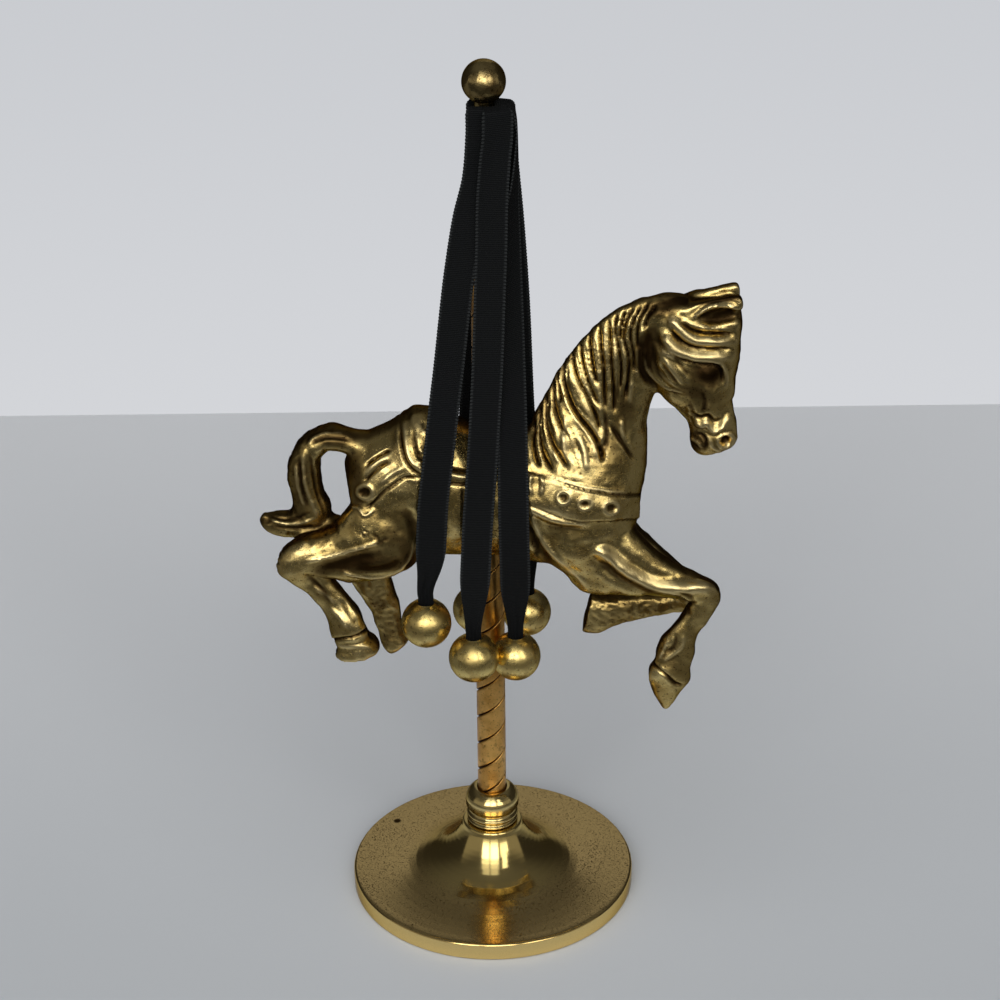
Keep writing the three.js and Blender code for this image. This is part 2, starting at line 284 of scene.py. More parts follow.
# The casting's body. A station is x, z, y, half height in the side view, half width, all in mm.
horse = {
    "grid": 0.56,
    "corner": (-81, -18, 73),
    "far": (87, 18, 234),
    "poleHole": 5.3,
    "trunk": [
        (-46, 159, 0, 7, 5), (-44.8, 159.2, 0, 13.4, 9), (-41, 159.6, 0, 18.8, 12),
        (-38, 159.8, 0, 19.8, 12.8),
        (-35, 160, 0, 21.2, 13.4), (-30, 160, 0, 24.2, 14), (-25, 160, 0, 27, 14.4),
        (-21, 160, 0, 28.4, 14.6),
        (-15, 159, 0, 25.8, 14.6),
        (-8, 157.8, 0, 23.9, 14.6), (2, 157, 0, 23.4, 14.8), (13, 156, 0, 23.4, 14.6),
        (24, 153.5, 0, 23.5, 14.2), (35, 150.5, 0, 21, 12.6), (44, 150, 0, 13.6, 10), (49.6, 150, 0, 7, 6),
    ],
    "neck": [
        (34, 148, 0, 16.6, 16.4), (32.6, 162, 0, 19.6, 15.2), (33.6, 178, 0, 19.6, 10.6),
        (36.6, 190, 0, 17.2, 8), (42.4, 202, 0, 15.6, 6.6), (50, 210.6, 0, 14.6, 6.2),
        (60, 216, 0, 12.4, 6.2), (67, 218, 0, 9, 6),
    ],
    "head": [
        (69.6, 224.2, 0, 11, 4.6), (69.2, 220.4, 0, 13, 6.6), (67.4, 213, 0, 14.8, 8),
        (67.2, 205, 0, 15.2, 8),
        (68.6, 198, 0, 13.3, 7.5), (70.8, 192, 0, 10.4, 6.5), (73, 186, 0, 8.4, 5.5),
        (74.4, 180, 0, 8, 5.2),
        (74.8, 175.6, 0, 8, 5.3), (75.6, 172.4, 0, 6, 4),
    ],
    "ear": [
        (62, 221.4, 3.6, 2.6, 2.2), (68, 223.4, 4.0, 3.2, 2.2), (75, 225.4, 4.4, 3.1, 2.0),
        (79.6, 226.6, 4.6, 2.7, 1.9), (81.6, 227, 4.6, 2.4, 1.7),
    ],
    "poll": [
        (50, 217, 0, 7.4, 5), (58, 219.4, 0, 6, 5), (66, 221, 0, 4.6, 4.8), (74, 222.6, 0, 3, 4.2),
        (80, 224, 0, 2.6, 3.4),
    ],
    "chest": [(18, 144, 0, 9, 12.6), (24, 143, 0, 12.5, 15.4), (32, 142, 0, 14, 16.2), (41, 145, 0, 10, 13)],
    "brow": [
        (78.6, 224.6, 0, 3.2, 4.4), (78.4, 220, 0, 3.9, 5.6), (78.6, 213, 0, 4, 6), (78.4, 206, 0, 4, 5.6),
        (77.4, 199, 0, 4, 4.8), (77.6, 192, 0, 3.6, 4.6),
    ],
    "tail": [
        (-39, 172, 0, 6, 6), (-44.5, 175.8, 0, 4.4, 5.6), (-53, 177.6, 0, 4, 5.4),
        (-59.2, 173.6, 0, 4.8, 5.6),
        (-61.4, 165, 0, 5.5, 5.8), (-60.4, 157, 0, 5.6, 5.8), (-59.6, 150, 0, 6.8, 5.8),
        (-65.4, 145.9, 0, 4.9, 5), (-72, 146.2, 0, 4.2, 3.8), (-76, 148.2, 0, 2, 1.8),
    ],
    "nearFore": [
        (26, 152, -6, 10, 6), (34, 143.5, -7.4, 13, 7.4), (44, 135.6, -8.4, 11, 6.8),
        (54, 129.8, -9, 7.8, 5.8),
        (63, 126, -9.2, 5.8, 5), (70, 123.8, -9.2, 5, 4.8), (73.4, 121.4, -9.2, 4.6, 4.4),
        (71.6, 116.4, -9.2, 4.4, 4), (68.8, 111.4, -9.2, 4.2, 3.8), (66, 106.2, -9.2, 4.7, 3.6),
        (63.6, 100.8, -9.2, 6.6, 4.2), (62.5, 95, -9.2, 6.2, 4), (61.2, 89.8, -9.2, 7.2, 4.6),
        (60.2, 84, -9.2, 4.9, 4), (60.2, 76.6, -9.2, 1.4, 1.6),
    ],
    "farFore": [
        (30, 148, 6, 11, 6), (42, 136.4, 7.6, 8, 6), (51.8, 128.4, 8.4, 6, 5), (60, 120.6, 8.6, 5.4, 4.6),
        (66, 115, 8.6, 4.8, 4.4), (67.4, 110, 8.6, 4, 3.8), (62, 108.2, 8.6, 4, 3.4),
        (52, 107.2, 8.6, 5, 3.6),
        (42, 105.2, 8.6, 6, 4), (37, 104.2, 8.6, 7.2, 4.4), (33.4, 104.8, 8.6, 7.4, 4),
    ],
    "nearHind": [
        (-28, 152, -7, 12, 7), (-35, 146, -8.2, 15, 8), (-45, 139.8, -8.6, 12, 6.8),
        (-54, 138.4, -8.6, 8.4, 5.6),
        (-61.5, 138, -8.8, 6.8, 5), (-65.6, 136, -8.8, 5.7, 4.6), (-62.8, 132, -8.8, 5.3, 4.2),
        (-58.2, 127.8, -8.8, 4.9, 3.9), (-53.8, 121.8, -8.8, 4.8, 3.8), (-50, 115.8, -8.8, 5.5, 4),
        (-48.2, 109.4, -8.8, 5.9, 4.2), (-46.8, 105.2, -8.8, 6, 4.2), (-45.6, 102.2, -8.8, 7.8, 4.9),
        (-45.2, 99.9, -8.8, 7.4, 4.8),
    ],
    "elbow": [
        (31, 137, -6.5, 8, 6.5), (34, 131.4, -8, 8.2, 6.2), (38, 129.6, -8.6, 7.2, 5.8),
        (44, 128.6, -9, 6.2, 5.4), (52, 126.8, -9, 5, 5),
    ],
    "tailRoot": [(-62, 147.4, 0, 4.6, 4.6), (-57, 146, 0, 4, 4.6), (-50, 145.4, -2, 3.4, 4.4)],
    "farHind": [
        (-30, 150, 6, 12, 6), (-37, 137, 7, 12.6, 6.6), (-41, 124, 8, 8, 5.6), (-38.8, 115, 8.4, 5.8, 4.4),
        (-35.9, 107.4, 8.6, 5.2, 4), (-34.8, 100.6, 8.6, 4.3, 3.8), (-33.6, 96, 8.6, 4.8, 4.4),
        (-31.6, 92.8, 8.6, 4.6, 4.4),
    ],
}


class Clay:
    def __init__(self, low, high, step):
        self.step = step
        self.axes = [np.arange(a, b, step, dtype=np.float32) for a, b in zip(low, high)]
        self.field = np.full([len(a) for a in self.axes], 30, np.float32)

    def window(self, low, high):
        cuts = []
        for axis, a, b in zip(self.axes, low, high):
            first, last = np.searchsorted(axis, (a, b))
            cuts.append(slice(max(first - 1, 0), min(last + 1, len(axis))))
        return tuple(cuts)

    def grids(self, cuts):
        return np.ix_(*(axis[c] for axis, c in zip(self.axes, cuts)))

    # One limb: the nearest of many short stretches along a smooth path, each a rounded oblong in section.
    # capShare is how far each reaches past its own end, against its height; square is 2 for an ellipse.
    def limb(self, stations, soft, steps=8, low=-100, high=100, flatEnds=(), capShare=0.25, square=2.6):
        rows = smoothRows(stations, steps)
        reach = 5.0 + soft
        widest = rows[:, 3:5].max(1)
        box = self.window(
            ((rows[:, 0] - widest).min() - reach, (rows[:, 2] - rows[:, 4]).min() - reach,
             (rows[:, 1] - widest).min() - reach),
            ((rows[:, 0] + widest).max() + reach, (rows[:, 2] + rows[:, 4]).max() + reach,
             (rows[:, 1] + widest).max() + reach),
        )
        body = np.full([c.stop - c.start for c in box], 30, np.float32)
        last = len(rows) - 2
        for i in range(last + 1):
            a, b = rows[i], rows[i + 1]
            wide = max(a[3], b[3]) + reach
            side = max(a[4], b[4]) + reach
            cut = self.window(
                (min(a[0], b[0]) - wide, min(a[2], b[2]) - side, min(a[1], b[1]) - wide),
                (max(a[0], b[0]) + wide, max(a[2], b[2]) + side, max(a[1], b[1]) + wide),
            )
            cut = tuple(slice(max(c.start, o.start), min(c.stop, o.stop)) for c, o in zip(cut, box))
            x, y, z = self.grids(cut)
            along = b[:2] - a[:2]
            length = max(np.hypot(*along), 1e-6)
            along = along / length
            dx, dz = x - a[0], z - a[1]
            run = (dx * along[0] + dz * along[1]) / length
            share = np.clip(run, 0, 1)
            past = (run - share) * length
            off = -dx * along[1] + dz * along[0]
            rise = a[3] + (b[3] - a[3]) * share
            wideness = a[4] + (b[4] - a[4]) * share
            aside = np.sqrt(off**2 + (past / capShare) ** 2)
            depth = y - (a[2] + (b[2] - a[2]) * share)
            up, out = aside / rise, np.abs(depth) / wideness
            near = (up**square + out**square) ** (1 / square)
            slope = np.hypot(up ** (square - 1) / rise, out ** (square - 1) / wideness)
            part = (near - 1) * near ** (square - 1) / (slope + 1e-6)
            inner = tuple(slice(c.start - o.start, c.stop - o.start) for c, o in zip(cut, box))
            body[inner] = np.minimum(body[inner], part)
        x, y, z = self.grids(box)
        body = np.maximum(body, np.maximum(low - y, y - high))
        for end in flatEnds:
            tip, before = rows[end], rows[1 if end == 0 else -2]
            way = (tip - before)[:2] / np.hypot(*(tip - before)[:2])
            dx, dz = x - tip[0], z - tip[1]
            beyond = dx * way[0] + dz * way[1]
            close = np.hypot(dx, dz) < tip[3] * 2
            body = np.where(close, np.maximum(body, beyond + 0 * y), body)
        self.field[box] = blendIn(self.field[box], body, soft)

    # How much of the cube within this many steps of a point is metal: 0.5 on a flat face, more in a hollow
    def shelter(self, points, reach):
        filled = (self.field < 0).astype(np.float32)
        for axis in range(3):
            margin = [(reach + 1, reach) if a == axis else (0, 0) for a in range(3)]
            summed = np.cumsum(np.pad(filled, margin), axis)
            ahead = np.take(summed, range(2 * reach + 1, summed.shape[axis]), axis)
            behind = np.take(summed, range(0, summed.shape[axis] - 2 * reach - 1), axis)
            filled = (ahead - behind) / (2 * reach + 1)
        at = np.round((points - [a[0] for a in self.axes]) / self.step).astype(int)
        at = np.clip(at, 0, np.array(filled.shape) - 1)
        return filled[tuple(at.T)]

    # Surface nets: one corner in each cell that the surface crosses, one face for each crossed edge
    def skin(self):
        field = self.field
        inside = field < 0
        shape = [n - 1 for n in field.shape]

        def corner(block, offset):
            return block[tuple(slice(o, o + n) for o, n in zip(offset, shape))]

        count = np.zeros(shape, np.int8)
        offsets = [(i, j, k) for i in (0, 1) for j in (0, 1) for k in (0, 1)]
        for offset in offsets:
            count += corner(inside, offset)
        cells = np.argwhere((count > 0) & (count < 8))
        number = np.full(shape, -1, np.int32)
        number[tuple(cells.T)] = np.arange(len(cells))
        total = np.zeros((len(cells), 3))
        hits = np.zeros(len(cells))
        for axis in range(3):
            step = np.eye(3, dtype=int)[axis]
            for offset in offsets:
                if offset[axis]:
                    continue
                first = field[tuple((cells + offset).T)]
                second = field[tuple((cells + offset + step).T)]
                crossed = (first < 0) != (second < 0)
                share = np.where(crossed, first / np.where(crossed, first - second, 1), 0)
                total += crossed[:, None] * (np.array(offset) + share[:, None] * step)
                hits += crossed
        points = cells + total / hits[:, None]
        points = points * self.step + [a[0] for a in self.axes]
        faces = []
        for axis in range(3):
            first = [slice(1, -1)] * 3
            first[axis] = slice(0, -1)
            second = [slice(1, -1)] * 3
            second[axis] = slice(1, None)
            low, high = inside[tuple(first)], inside[tuple(second)]
            spots = np.argwhere(low != high) + [0 if k == axis else 1 for k in range(3)]
            u, v = [np.eye(3, dtype=int)[(axis + k) % 3] for k in (1, 2)]
            ring = [number[tuple((spots - d).T)] for d in (u + v, v, 0 * u, u)]
            quads = np.stack(ring, 1)
            solidFirst = inside[tuple(spots.T)]
            faces.append(np.where(solidFirst[:, None], quads, quads[:, ::-1]))
        return points, np.vstack(faces)


# The edges of a mesh of four-sided faces, for averaging each point with its neighbours
class Net:
    def __init__(self, points, faces):
        self.points = points
        self.faces = faces
        pairs = np.vstack([faces[:, [i, (i + 1) % 4]] for i in range(4)])
        pairs = np.unique(np.sort(pairs, 1), axis=0)
        self.one, self.two = pairs.T
        self.ties = np.bincount(pairs.ravel(), minlength=len(points))

    def average(self, values):
        values = values if values.ndim > 1 else values[:, None]
        total = np.empty_like(values)
        for k in range(values.shape[1]):
            column = values[:, k]
            total[:, k] = np.bincount(self.one, column[self.two], len(column))
            total[:, k] += np.bincount(self.two, column[self.one], len(column))
        return (total / self.ties[:, None]).squeeze()

    def relax(self, times, amount=0.5):
        for _ in range(times):
            self.points = self.points + amount * (self.average(self.points) - self.points)

    def normals(self):
        a, b, c, d = (self.points[self.faces[:, k]] for k in range(4))
        across = np.cross(c - a, d - b)
        normals = np.zeros_like(self.points)
        for k in range(4):
            for axis in range(3):
                normals[:, axis] += np.bincount(self.faces[:, k], across[:, axis], len(normals))
        return normals / np.linalg.norm(normals, axis=1, keepdims=True)

    # How hollow each point is against its neighbours, in mm, averaged over a few rings
    def hollow(self, rounds):
        normals = self.normals()
        level = self.average(self.points) - self.points
        value = (level * normals).sum(1)
        for _ in range(rounds):
            value = self.average(value)
        return value


sharpEdge = math.radians(50)


def asMesh(name, points, faces, finish, marks=None):
    mesh = bpy.data.meshes.new(name)
    faces = faces.tolist() if isinstance(faces, np.ndarray) else faces
    mesh.from_pydata((np.asarray(points) * mm).tolist(), [], faces)
    for mark, values in (marks or {}).items():
        layer = mesh.attributes.new(mark, "FLOAT", "POINT")
        layer.data.foreach_set("value", np.asarray(values, np.float32))
    mesh.update()
    mesh.shade_smooth()
    mesh.set_sharp_from_angle(angle=sharpEdge)
    mesh.materials.append(finish)
    made = bpy.data.objects.new(name, mesh)
    bpy.context.scene.collection.objects.link(made)
    return made


# The four-sided faces between the rows and columns of a grid of corner numbers
def quads(grid):
    return np.stack([grid[:-1, :-1], grid[:-1, 1:], grid[1:, 1:], grid[1:, :-1]], 2).reshape(-1, 4)


def settle(made, node):
    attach(made, "root")
    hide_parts(node)


# Where a point shows on an upright drawing sheet through the pole, looked at from the viewer's place.
# The far side of the casting uses the same drawing, mirrored.
def onSheet(points):
    back, up = -1000 * eye["place"][1], 1000 * eye["place"][2]
    depth = np.abs(points[:, 1]) / back
    return points[:, 0] / (1 - depth), (points[:, 2] - up * depth) / (1 - depth)


# Smooth random lumps of about this size in mm, from -1 to 1
def lumps(points, size, seed):
    chance = np.random.default_rng(seed)
    lattice = chance.uniform(-1, 1, (64, 64, 64))
    spot = points / size + 31.7
    first = np.floor(spot).astype(int)
    part = spot - first
    part = part * part * (3 - 2 * part)
    total = 0
    for i in (0, 1):
        for j in (0, 1):
            for k in (0, 1):
                share = np.abs(1 - i - part[:, 0]) * np.abs(1 - j - part[:, 1]) * np.abs(1 - k - part[:, 2])
                at = (first + (i, j, k)) % 64
                total = total + share * lattice[at[:, 0], at[:, 1], at[:, 2]]
    return total


def stepUp(values, low, high):
    share = np.clip((values - low) / (high - low), 0, 1)
    return share * share * (3 - 2 * share)


# Height, darkness and wear of every point, drawn on the sheet in mm where carving is allowed
class Relief:
    def __init__(self, points, allowed):
        self.x, self.z = onSheet(points)
        self.allowed = allowed
        self.height = np.zeros(len(points))
        self.dark = np.zeros(len(points))
        self.wornAndHighlight = np.zeros(len(points))

    def near(self, low, high, reach):
        inside = (self.x > low[0] - reach) & (self.x < high[0] + reach)
        inside &= (self.z > low[1] - reach) & (self.z < high[1] + reach)
        return np.nonzero(inside & (self.allowed > 0))[0]

    def distance(self, at, line):
        x, z = self.x[at], self.z[at]
        best = np.full(len(at), 1e9)
        run = np.zeros(len(at))
        for i in range(len(line) - 1):
            a, b = line[i], line[i + 1]
            way = b - a
            share = np.clip(((x - a[0]) * way[0] + (z - a[1]) * way[1]) / (way @ way), 0, 1)
            far = np.hypot(x - a[0] - way[0] * share, z - a[1] - way[1] * share)
            closer = far < best
            best = np.where(closer, far, best)
            run = np.where(closer, (i + share) / (len(line) - 1), run)
        return best, run

    # A groove, or below depth 0 a ridge, with low banks along it
    def stroke(self, width, depth, line, blunt, shade):
        line = smoothRows(line, 4)
        at = self.near(line.min(0), line.max(0), 3 * width)
        away, run = self.distance(at, line)
        ends = stepUp(run, -0.5 * blunt, blunt) * stepUp(1 - run, -0.5 * blunt, blunt)
        cut = np.exp(-((away / width) ** 2)) * ends * self.allowed[at]
        bank = np.exp(-(((away - 1.7 * width) / (0.7 * width)) ** 2)) * ends * self.allowed[at]
        self.height[at] += depth * (0.22 * bank - cut)
        if depth > 0:
            self.dark[at] = np.maximum(self.dark[at], cut * shade * min(1, depth * 1.3))
        else:
            self.wornAndHighlight[at] = np.maximum(self.wornAndHighlight[at], cut)

    def strokes(self, width, depth, blunt, lines, shade=1.0):
        for line in lines:
            self.stroke(width, depth, np.array(line, float), blunt, shade)

    # A raised or sunk patch: an ellipse with a soft edge
    def patch(self, x, z, wide, high, turn, rise, edge):
        reach = max(wide, high) * (1 + edge)
        at = self.near((x, z), (x, z), reach)
        c, s = math.cos(math.radians(turn)), math.sin(math.radians(turn))
        dx, dz = self.x[at] - x, self.z[at] - z
        out = np.hypot((dx * c + dz * s) / wide, (dz * c - dx * s) / high)
        full = (1 - stepUp(out, 1 - edge, 1 + edge)) * self.allowed[at]
        self.height[at] += rise * full
        if rise < 0:
            self.dark[at] = np.maximum(self.dark[at], full * min(1, -rise * 0.7))

    # A band between an upper and a lower edge, both given from left to right
    def strip(self, upper, lower, rise, edge=0.35):
        upper, lower = smoothRows(upper, 4), smoothRows(lower, 4)
        low = (upper[0, 0], lower[:, 1].min())
        at = self.near(low, (upper[-1, 0], upper[:, 1].max()), edge)
        x, z = self.x[at], self.z[at]
        above = np.interp(x, upper[:, 0], upper[:, 1]) - z
        below = z - np.interp(x, lower[:, 0], lower[:, 1])
        inside = stepUp(above, -edge, edge) * stepUp(below, -edge, edge)
        self.height[at] += rise * inside * self.allowed[at]
        for gap in (above, below):
            shade = np.exp(-(((gap + 0.5) / 0.45) ** 2)) * self.allowed[at]
            self.dark[at] = np.maximum(self.dark[at], 0.9 * shade)

    # A domed stud: a raised ring round a hollow
    def stud(self, x, z, ring, rise):
        at = self.near((x, z), (x, z), ring * 2)
        out = np.hypot(self.x[at] - x, self.z[at] - z) / ring
        hill = np.exp(-(((out - 1) / 0.28) ** 2)) * self.allowed[at]
        hole = (1 - stepUp(out, 0.35, 0.85)) * self.allowed[at]
        self.height[at] += rise * hill - 1.1 * rise * hole
        self.dark[at] = np.maximum(self.dark[at] * (1 - hill), hole)
        self.wornAndHighlight[at] = np.maximum(self.wornAndHighlight[at], hill)


# What is carved. A cut is its width, its depth (below 0 for a ridge), the share of its length over which an
# end fades, and its lines on the sheet. A patch is x, z, half width, half height, turn, rise and edge.
mane = {
    "main": (0.75, 1.5, 0.08, [[
        (24.6, 205), (24.8, 198), (26, 193), (28, 188), (31, 183), (34, 179), (36.4, 174.6), (38, 168.6),
    ]]),
    "hollow": (38, 171.5, 0.9, 3.6, -6, -1.0, 0.5),
    "locks": [
        [(15, 184), (15, 178), (15.6, 172), (17, 166)],
        [(17, 189), (16.6, 182), (17.2, 176), (18.6, 170), (21.4, 164.6)],
        [(19, 194), (18.6, 188), (19.2, 182), (21, 176), (24, 170), (26.6, 165.6)],
        [(21.4, 199), (21, 193), (22, 187), (24, 181.6), (26.4, 177)],
        [(23, 202.6), (22.8, 196), (23.8, 190)],
        [(27.4, 208), (28, 203), (30, 197), (33, 191), (35.6, 185), (37, 179.6)],
        [(30, 211), (30.6, 206), (32, 200), (34, 194), (36.6, 188)],
        [(33, 214), (33.6, 208), (34.6, 202), (36, 196)],
        [(36.4, 217), (37, 210), (38, 203), (38.4, 196), (38.8, 187)],
        [(39.4, 219), (40, 213), (40.4, 207), (41, 200), (41.8, 192), (41.8, 186)],
        [(42, 221), (41.6, 215), (43, 208.6), (44, 201), (43.8, 194)],
        [(44.6, 222), (43.6, 216.6), (43, 212)],
        [(47, 223), (45.2, 218), (44.6, 212), (46.4, 205), (46.4, 198), (45.6, 191)],
        [(49.6, 224), (47.6, 219), (46.6, 213), (48, 206), (48.2, 200)],
        [(52, 224.6), (50, 219.6), (48.8, 214), (49.4, 208)], [(54.6, 224), (52.6, 220), (51.2, 215.6)],
    ],
    "fine": (0.34, 0.45, 0.2, [
        [(26.2, 203), (26.6, 196), (28.6, 190), (33, 183.5)], [(29, 207), (30.4, 201), (32.4, 195)],
        [(31.8, 210), (32.8, 204), (34.4, 198)], [(35, 212), (35.8, 206), (36.8, 200)],
        [(38.6, 214), (39.2, 207), (39.8, 198), (40.2, 190)], [(42.4, 206), (42.8, 198), (42.8, 190)],
        [(20, 190), (20.2, 184), (22.2, 178)], [(17.8, 184), (18.4, 178), (20.4, 172)],
        [(27, 181), (29, 176), (31, 170)], [(30, 180), (33, 174.6), (34, 168)],
        [(28, 172), (30, 166), (31, 162)],
    ]),
    "ridges": (0.8, -0.6, 0.3, [
        [(25.6, 184), (25.4, 177), (26, 169)], [(44.2, 183), (44.2, 179.6), (45, 176)],
        [(47.4, 197), (46.8, 189)], [(30.4, 177), (32, 171), (32.6, 165)], [(22, 172), (24, 167.4)],
    ]),
    "folds": (0.7, 0.7, 0.3, [
        [(40.6, 181), (43, 177), (46, 172), (48, 168.6)], [(38.4, 186), (39.4, 179), (39.2, 172)],
    ]),
}

face = {
    "patches": [
        (57.4, 201.6, 3.4, 8.2, 24, 0.9, 0.3), (62, 200.4, 3.2, 8.6, 24, 1.0, 0.3),
        (72.8, 199.2, 5, 3.4, -14, -1.1, 0.7), (73, 199.6, 2.2, 1.6, -10, 0.7, 0.6),
        (75.6, 219.4, 6.4, 2.3, 6, -1.8, 0.4), (53.6, 209, 2.6, 7.4, 0, -1.2, 0.5),
        (60.6, 221.4, 4.4, 1.6, 8, 0.5, 0.6), (78.9, 174.6, 1.7, 1.8, 0, -1.9, 0.35),
        (71.6, 197, 2.4, 3.2, 0, 0.6, 0.6), (67.6, 189, 1.6, 4.6, 0, 0.6, 0.6),
        (73.4, 190.6, 1.8, 3.4, 10, 0.5, 0.6), (71.2, 181.2, 2.3, 1.5, 0, 0.7, 0.6),
        (78.6, 181.4, 2, 2.6, -20, 0.7, 0.6), (75.2, 179.4, 2.6, 1.2, 0, 0.6, 0.6),
    ],
    "nostril": (78.9, 174.9, 2.4, 0.45),
}

faceCuts = {
    "jawHollow": (0.9, 1.0, 0.25, [[
        (50.2, 213), (50.2, 206), (50.6, 201), (52.4, 197.4), (55.6, 194.4),
    ]]),
    "jawRim": (0.45, -0.6, 0.1, [[
        (51.6, 208), (51.6, 205.5), (51.8, 203), (53, 200), (55, 197.5), (57.5, 195.3), (60, 194),
        (64.5, 192.6),
    ]]),
    "behindCheek": (1.0, 0.7, 0.25, [[(53.4, 212), (54, 206), (55.6, 201), (58.6, 197.4)]]),
    "cheekRidges": (0.6, -0.6, 0.3, [
        [(58.5, 206), (61.5, 200.5), (64, 196.5)], [(56, 200.6), (58, 198.4), (60.4, 196.5)],
        [(57, 208.4), (61.5, 205.5)],
    ]),
    "cheekHollows": (0.6, 0.6, 0.3, [
        [(60.4, 207), (63.4, 202.4), (66, 199)], [(57.4, 203.6), (60, 200), (62, 197)],
    ]),
    "forelock": (1.9, -1.7, 0.15, [
        [
            (58.6, 217.6), (60.6, 217.8), (62.6, 215.6), (65, 213.2), (68.4, 211.4), (73, 210.8),
            (80, 210.8),
        ],
        [(57.8, 213.6), (59.4, 210.8), (61.8, 208.2), (65.4, 206.2), (70, 205.2), (79, 204.8)],
    ]),
    "forelockThin": (0.45, -0.5, 0.3, [
        [(64.6, 218.6), (67, 216.8), (71, 215.6), (79.6, 215)], [(63, 211.6), (67, 209.2), (78, 208.4)],
    ]),
    "forelockHollows": (0.5, 0.9, 0.15, [
        [(60, 214.8), (63, 211.6), (66.4, 209.4), (72, 208.4), (80, 208.2)],
        [(63, 218.2), (66, 215.4), (69.6, 214), (74, 213.6), (80, 213.4)],
        [(60.4, 207.4), (63, 205), (67, 203.4), (70, 202.6), (74.6, 202.2), (77, 200), (77.4, 196)],
    ]),
    "browRidge": (0.7, -0.5, 0.3, [[
        (69.4, 203.6), (75, 203.4), (77.6, 201.4), (78.8, 198), (78.4, 194.6),
    ]]),
    "noseBand": (0.8, -0.8, 0.12, [[
        (68.5, 183), (69.5, 181), (71, 180.8), (72.3, 182), (74, 179), (75.5, 178.5), (77.4, 180),
        (79.4, 183.6),
    ]]),
    "noseHollows": (0.7, 0.7, 0.2, [[
        (67.4, 185.6), (70, 183.6), (72.6, 184.4), (75, 181.8), (77, 183.2),
    ]]),
    "mouth": (0.5, 0.6, 0.3, [[(68.6, 177.8), (71, 177.2), (72.5, 174.8), (72, 171.6)]]),
    "lips": (0.6, -0.5, 0.3, [
        [(72.4, 177.4), (73.8, 174.4), (75.2, 172.2), (77.4, 171.2)],
        [(67, 176), (69.4, 174.6), (71, 172.4)],
    ]),
    "cheekLines": (0.7, 0.4, 0.3, [
        [(66.5, 190), (67.4, 186), (67.2, 181)], [(70.6, 193.5), (71.6, 189), (70.8, 185.6)],
    ]),
    "earRim": (0.8, -1.1, 0.15, [[
        (67.4, 219.4), (69, 220.8), (71.4, 222.6), (74.6, 223.6), (78.4, 223.6), (80.6, 222.8),
    ]]),
}

tack = {
    "strapTop": [(11, 163.8), (20, 161.5), (28, 158.5), (37, 156), (45, 154.7), (54, 154.6)],
    "strapFoot": [(11, 153.4), (20, 149.8), (28, 147), (37, 145.8), (45, 145.8), (54, 146.2)],
    "strapRise": 0.7,
    # x, z, radius of the ring, rise
    "studs": [
        (25.4, 155, 2.1, 0.5), (32.3, 152.7, 1.9, 0.5), (40.2, 151, 2.2, 0.5), (-41, 157.4, 2.5, 0.55),
        (-42, 141.3, 0.9, -0.4),
    ],
    "blanketTop": (176, 185),
    "blanketGrooves": (0.6, 0.7, 0.06, [
        [
            (-29.6, 187), (-28.8, 185), (-28.8, 178), (-27.5, 170), (-25, 165.5), (-21, 162.7),
            (-12, 160), (0, 159.6),
        ],
        [(-25.4, 187), (-24.8, 181), (-24, 174), (-22.4, 169.6), (-17, 166.4), (-8, 164.4), (6, 164)],
    ]),
    "blanketRidges": (0.9, -0.6, 0.08, [
        [(-23, 186), (-22, 181), (-20.5, 178.5)],
        [(-27.4, 186), (-27.2, 178), (-26, 170.6), (-23.2, 166.6), (-18, 164.4), (-8, 162.2), (4, 161.8)],
    ]),
}

tackCuts = {
    "strapRimHigh": (0.55, -0.4, 0.2, [[(18, 162.8), (28, 159.6), (37, 157.2), (46, 155.8)]]),
    "strapRimLow": (1.5, -1.1, 0.2, [[(13, 151), (17, 148.6), (24, 145.8), (33, 144.6)]]),
    "bucklePosts": (0.7, -0.8, 0.3, [
        [(14.2, 163), (13.6, 159.4), (14.2, 156)], [(17.4, 163), (18, 159.4), (17.4, 156)],
    ]),
    "ticks": (0.45, -0.6, 0.4, [[(-22.6, 172.4), (-20.6, 171.6)], [(-23.4, 168.6), (-21.6, 167.6)]]),
    "leafGrooves": (0.55, 0.8, 0.15, [
        [(-40.5, 167), (-36, 170.5), (-32.5, 172.5)], [(-41, 161.5), (-37, 165.5), (-33, 168.5)],
        [(-41, 151), (-38, 154), (-35, 157.5), (-31, 160.5), (-27, 163), (-22, 162)],
    ]),
    "leafRidges": (0.8, -0.45, 0.3, [
        [(-41, 164), (-37, 168), (-33, 170.4)], [(-36, 160.4), (-32, 164), (-28.4, 166)],
    ]),
    "strapEnd": (0.5, -0.5, 0.15, [[(-47, 159), (-46.8, 152), (-43.5, 151), (-41.5, 148), (-38, 151)]]),
    "girth": (0.5, 0.5, 0.1, [
        [(-16.4, 158), (-16.6, 150), (-16, 142), (-15.4, 134)],
        [(-8.6, 158), (-8.4, 150), (-8.2, 142), (-8, 134)],
    ]),
}

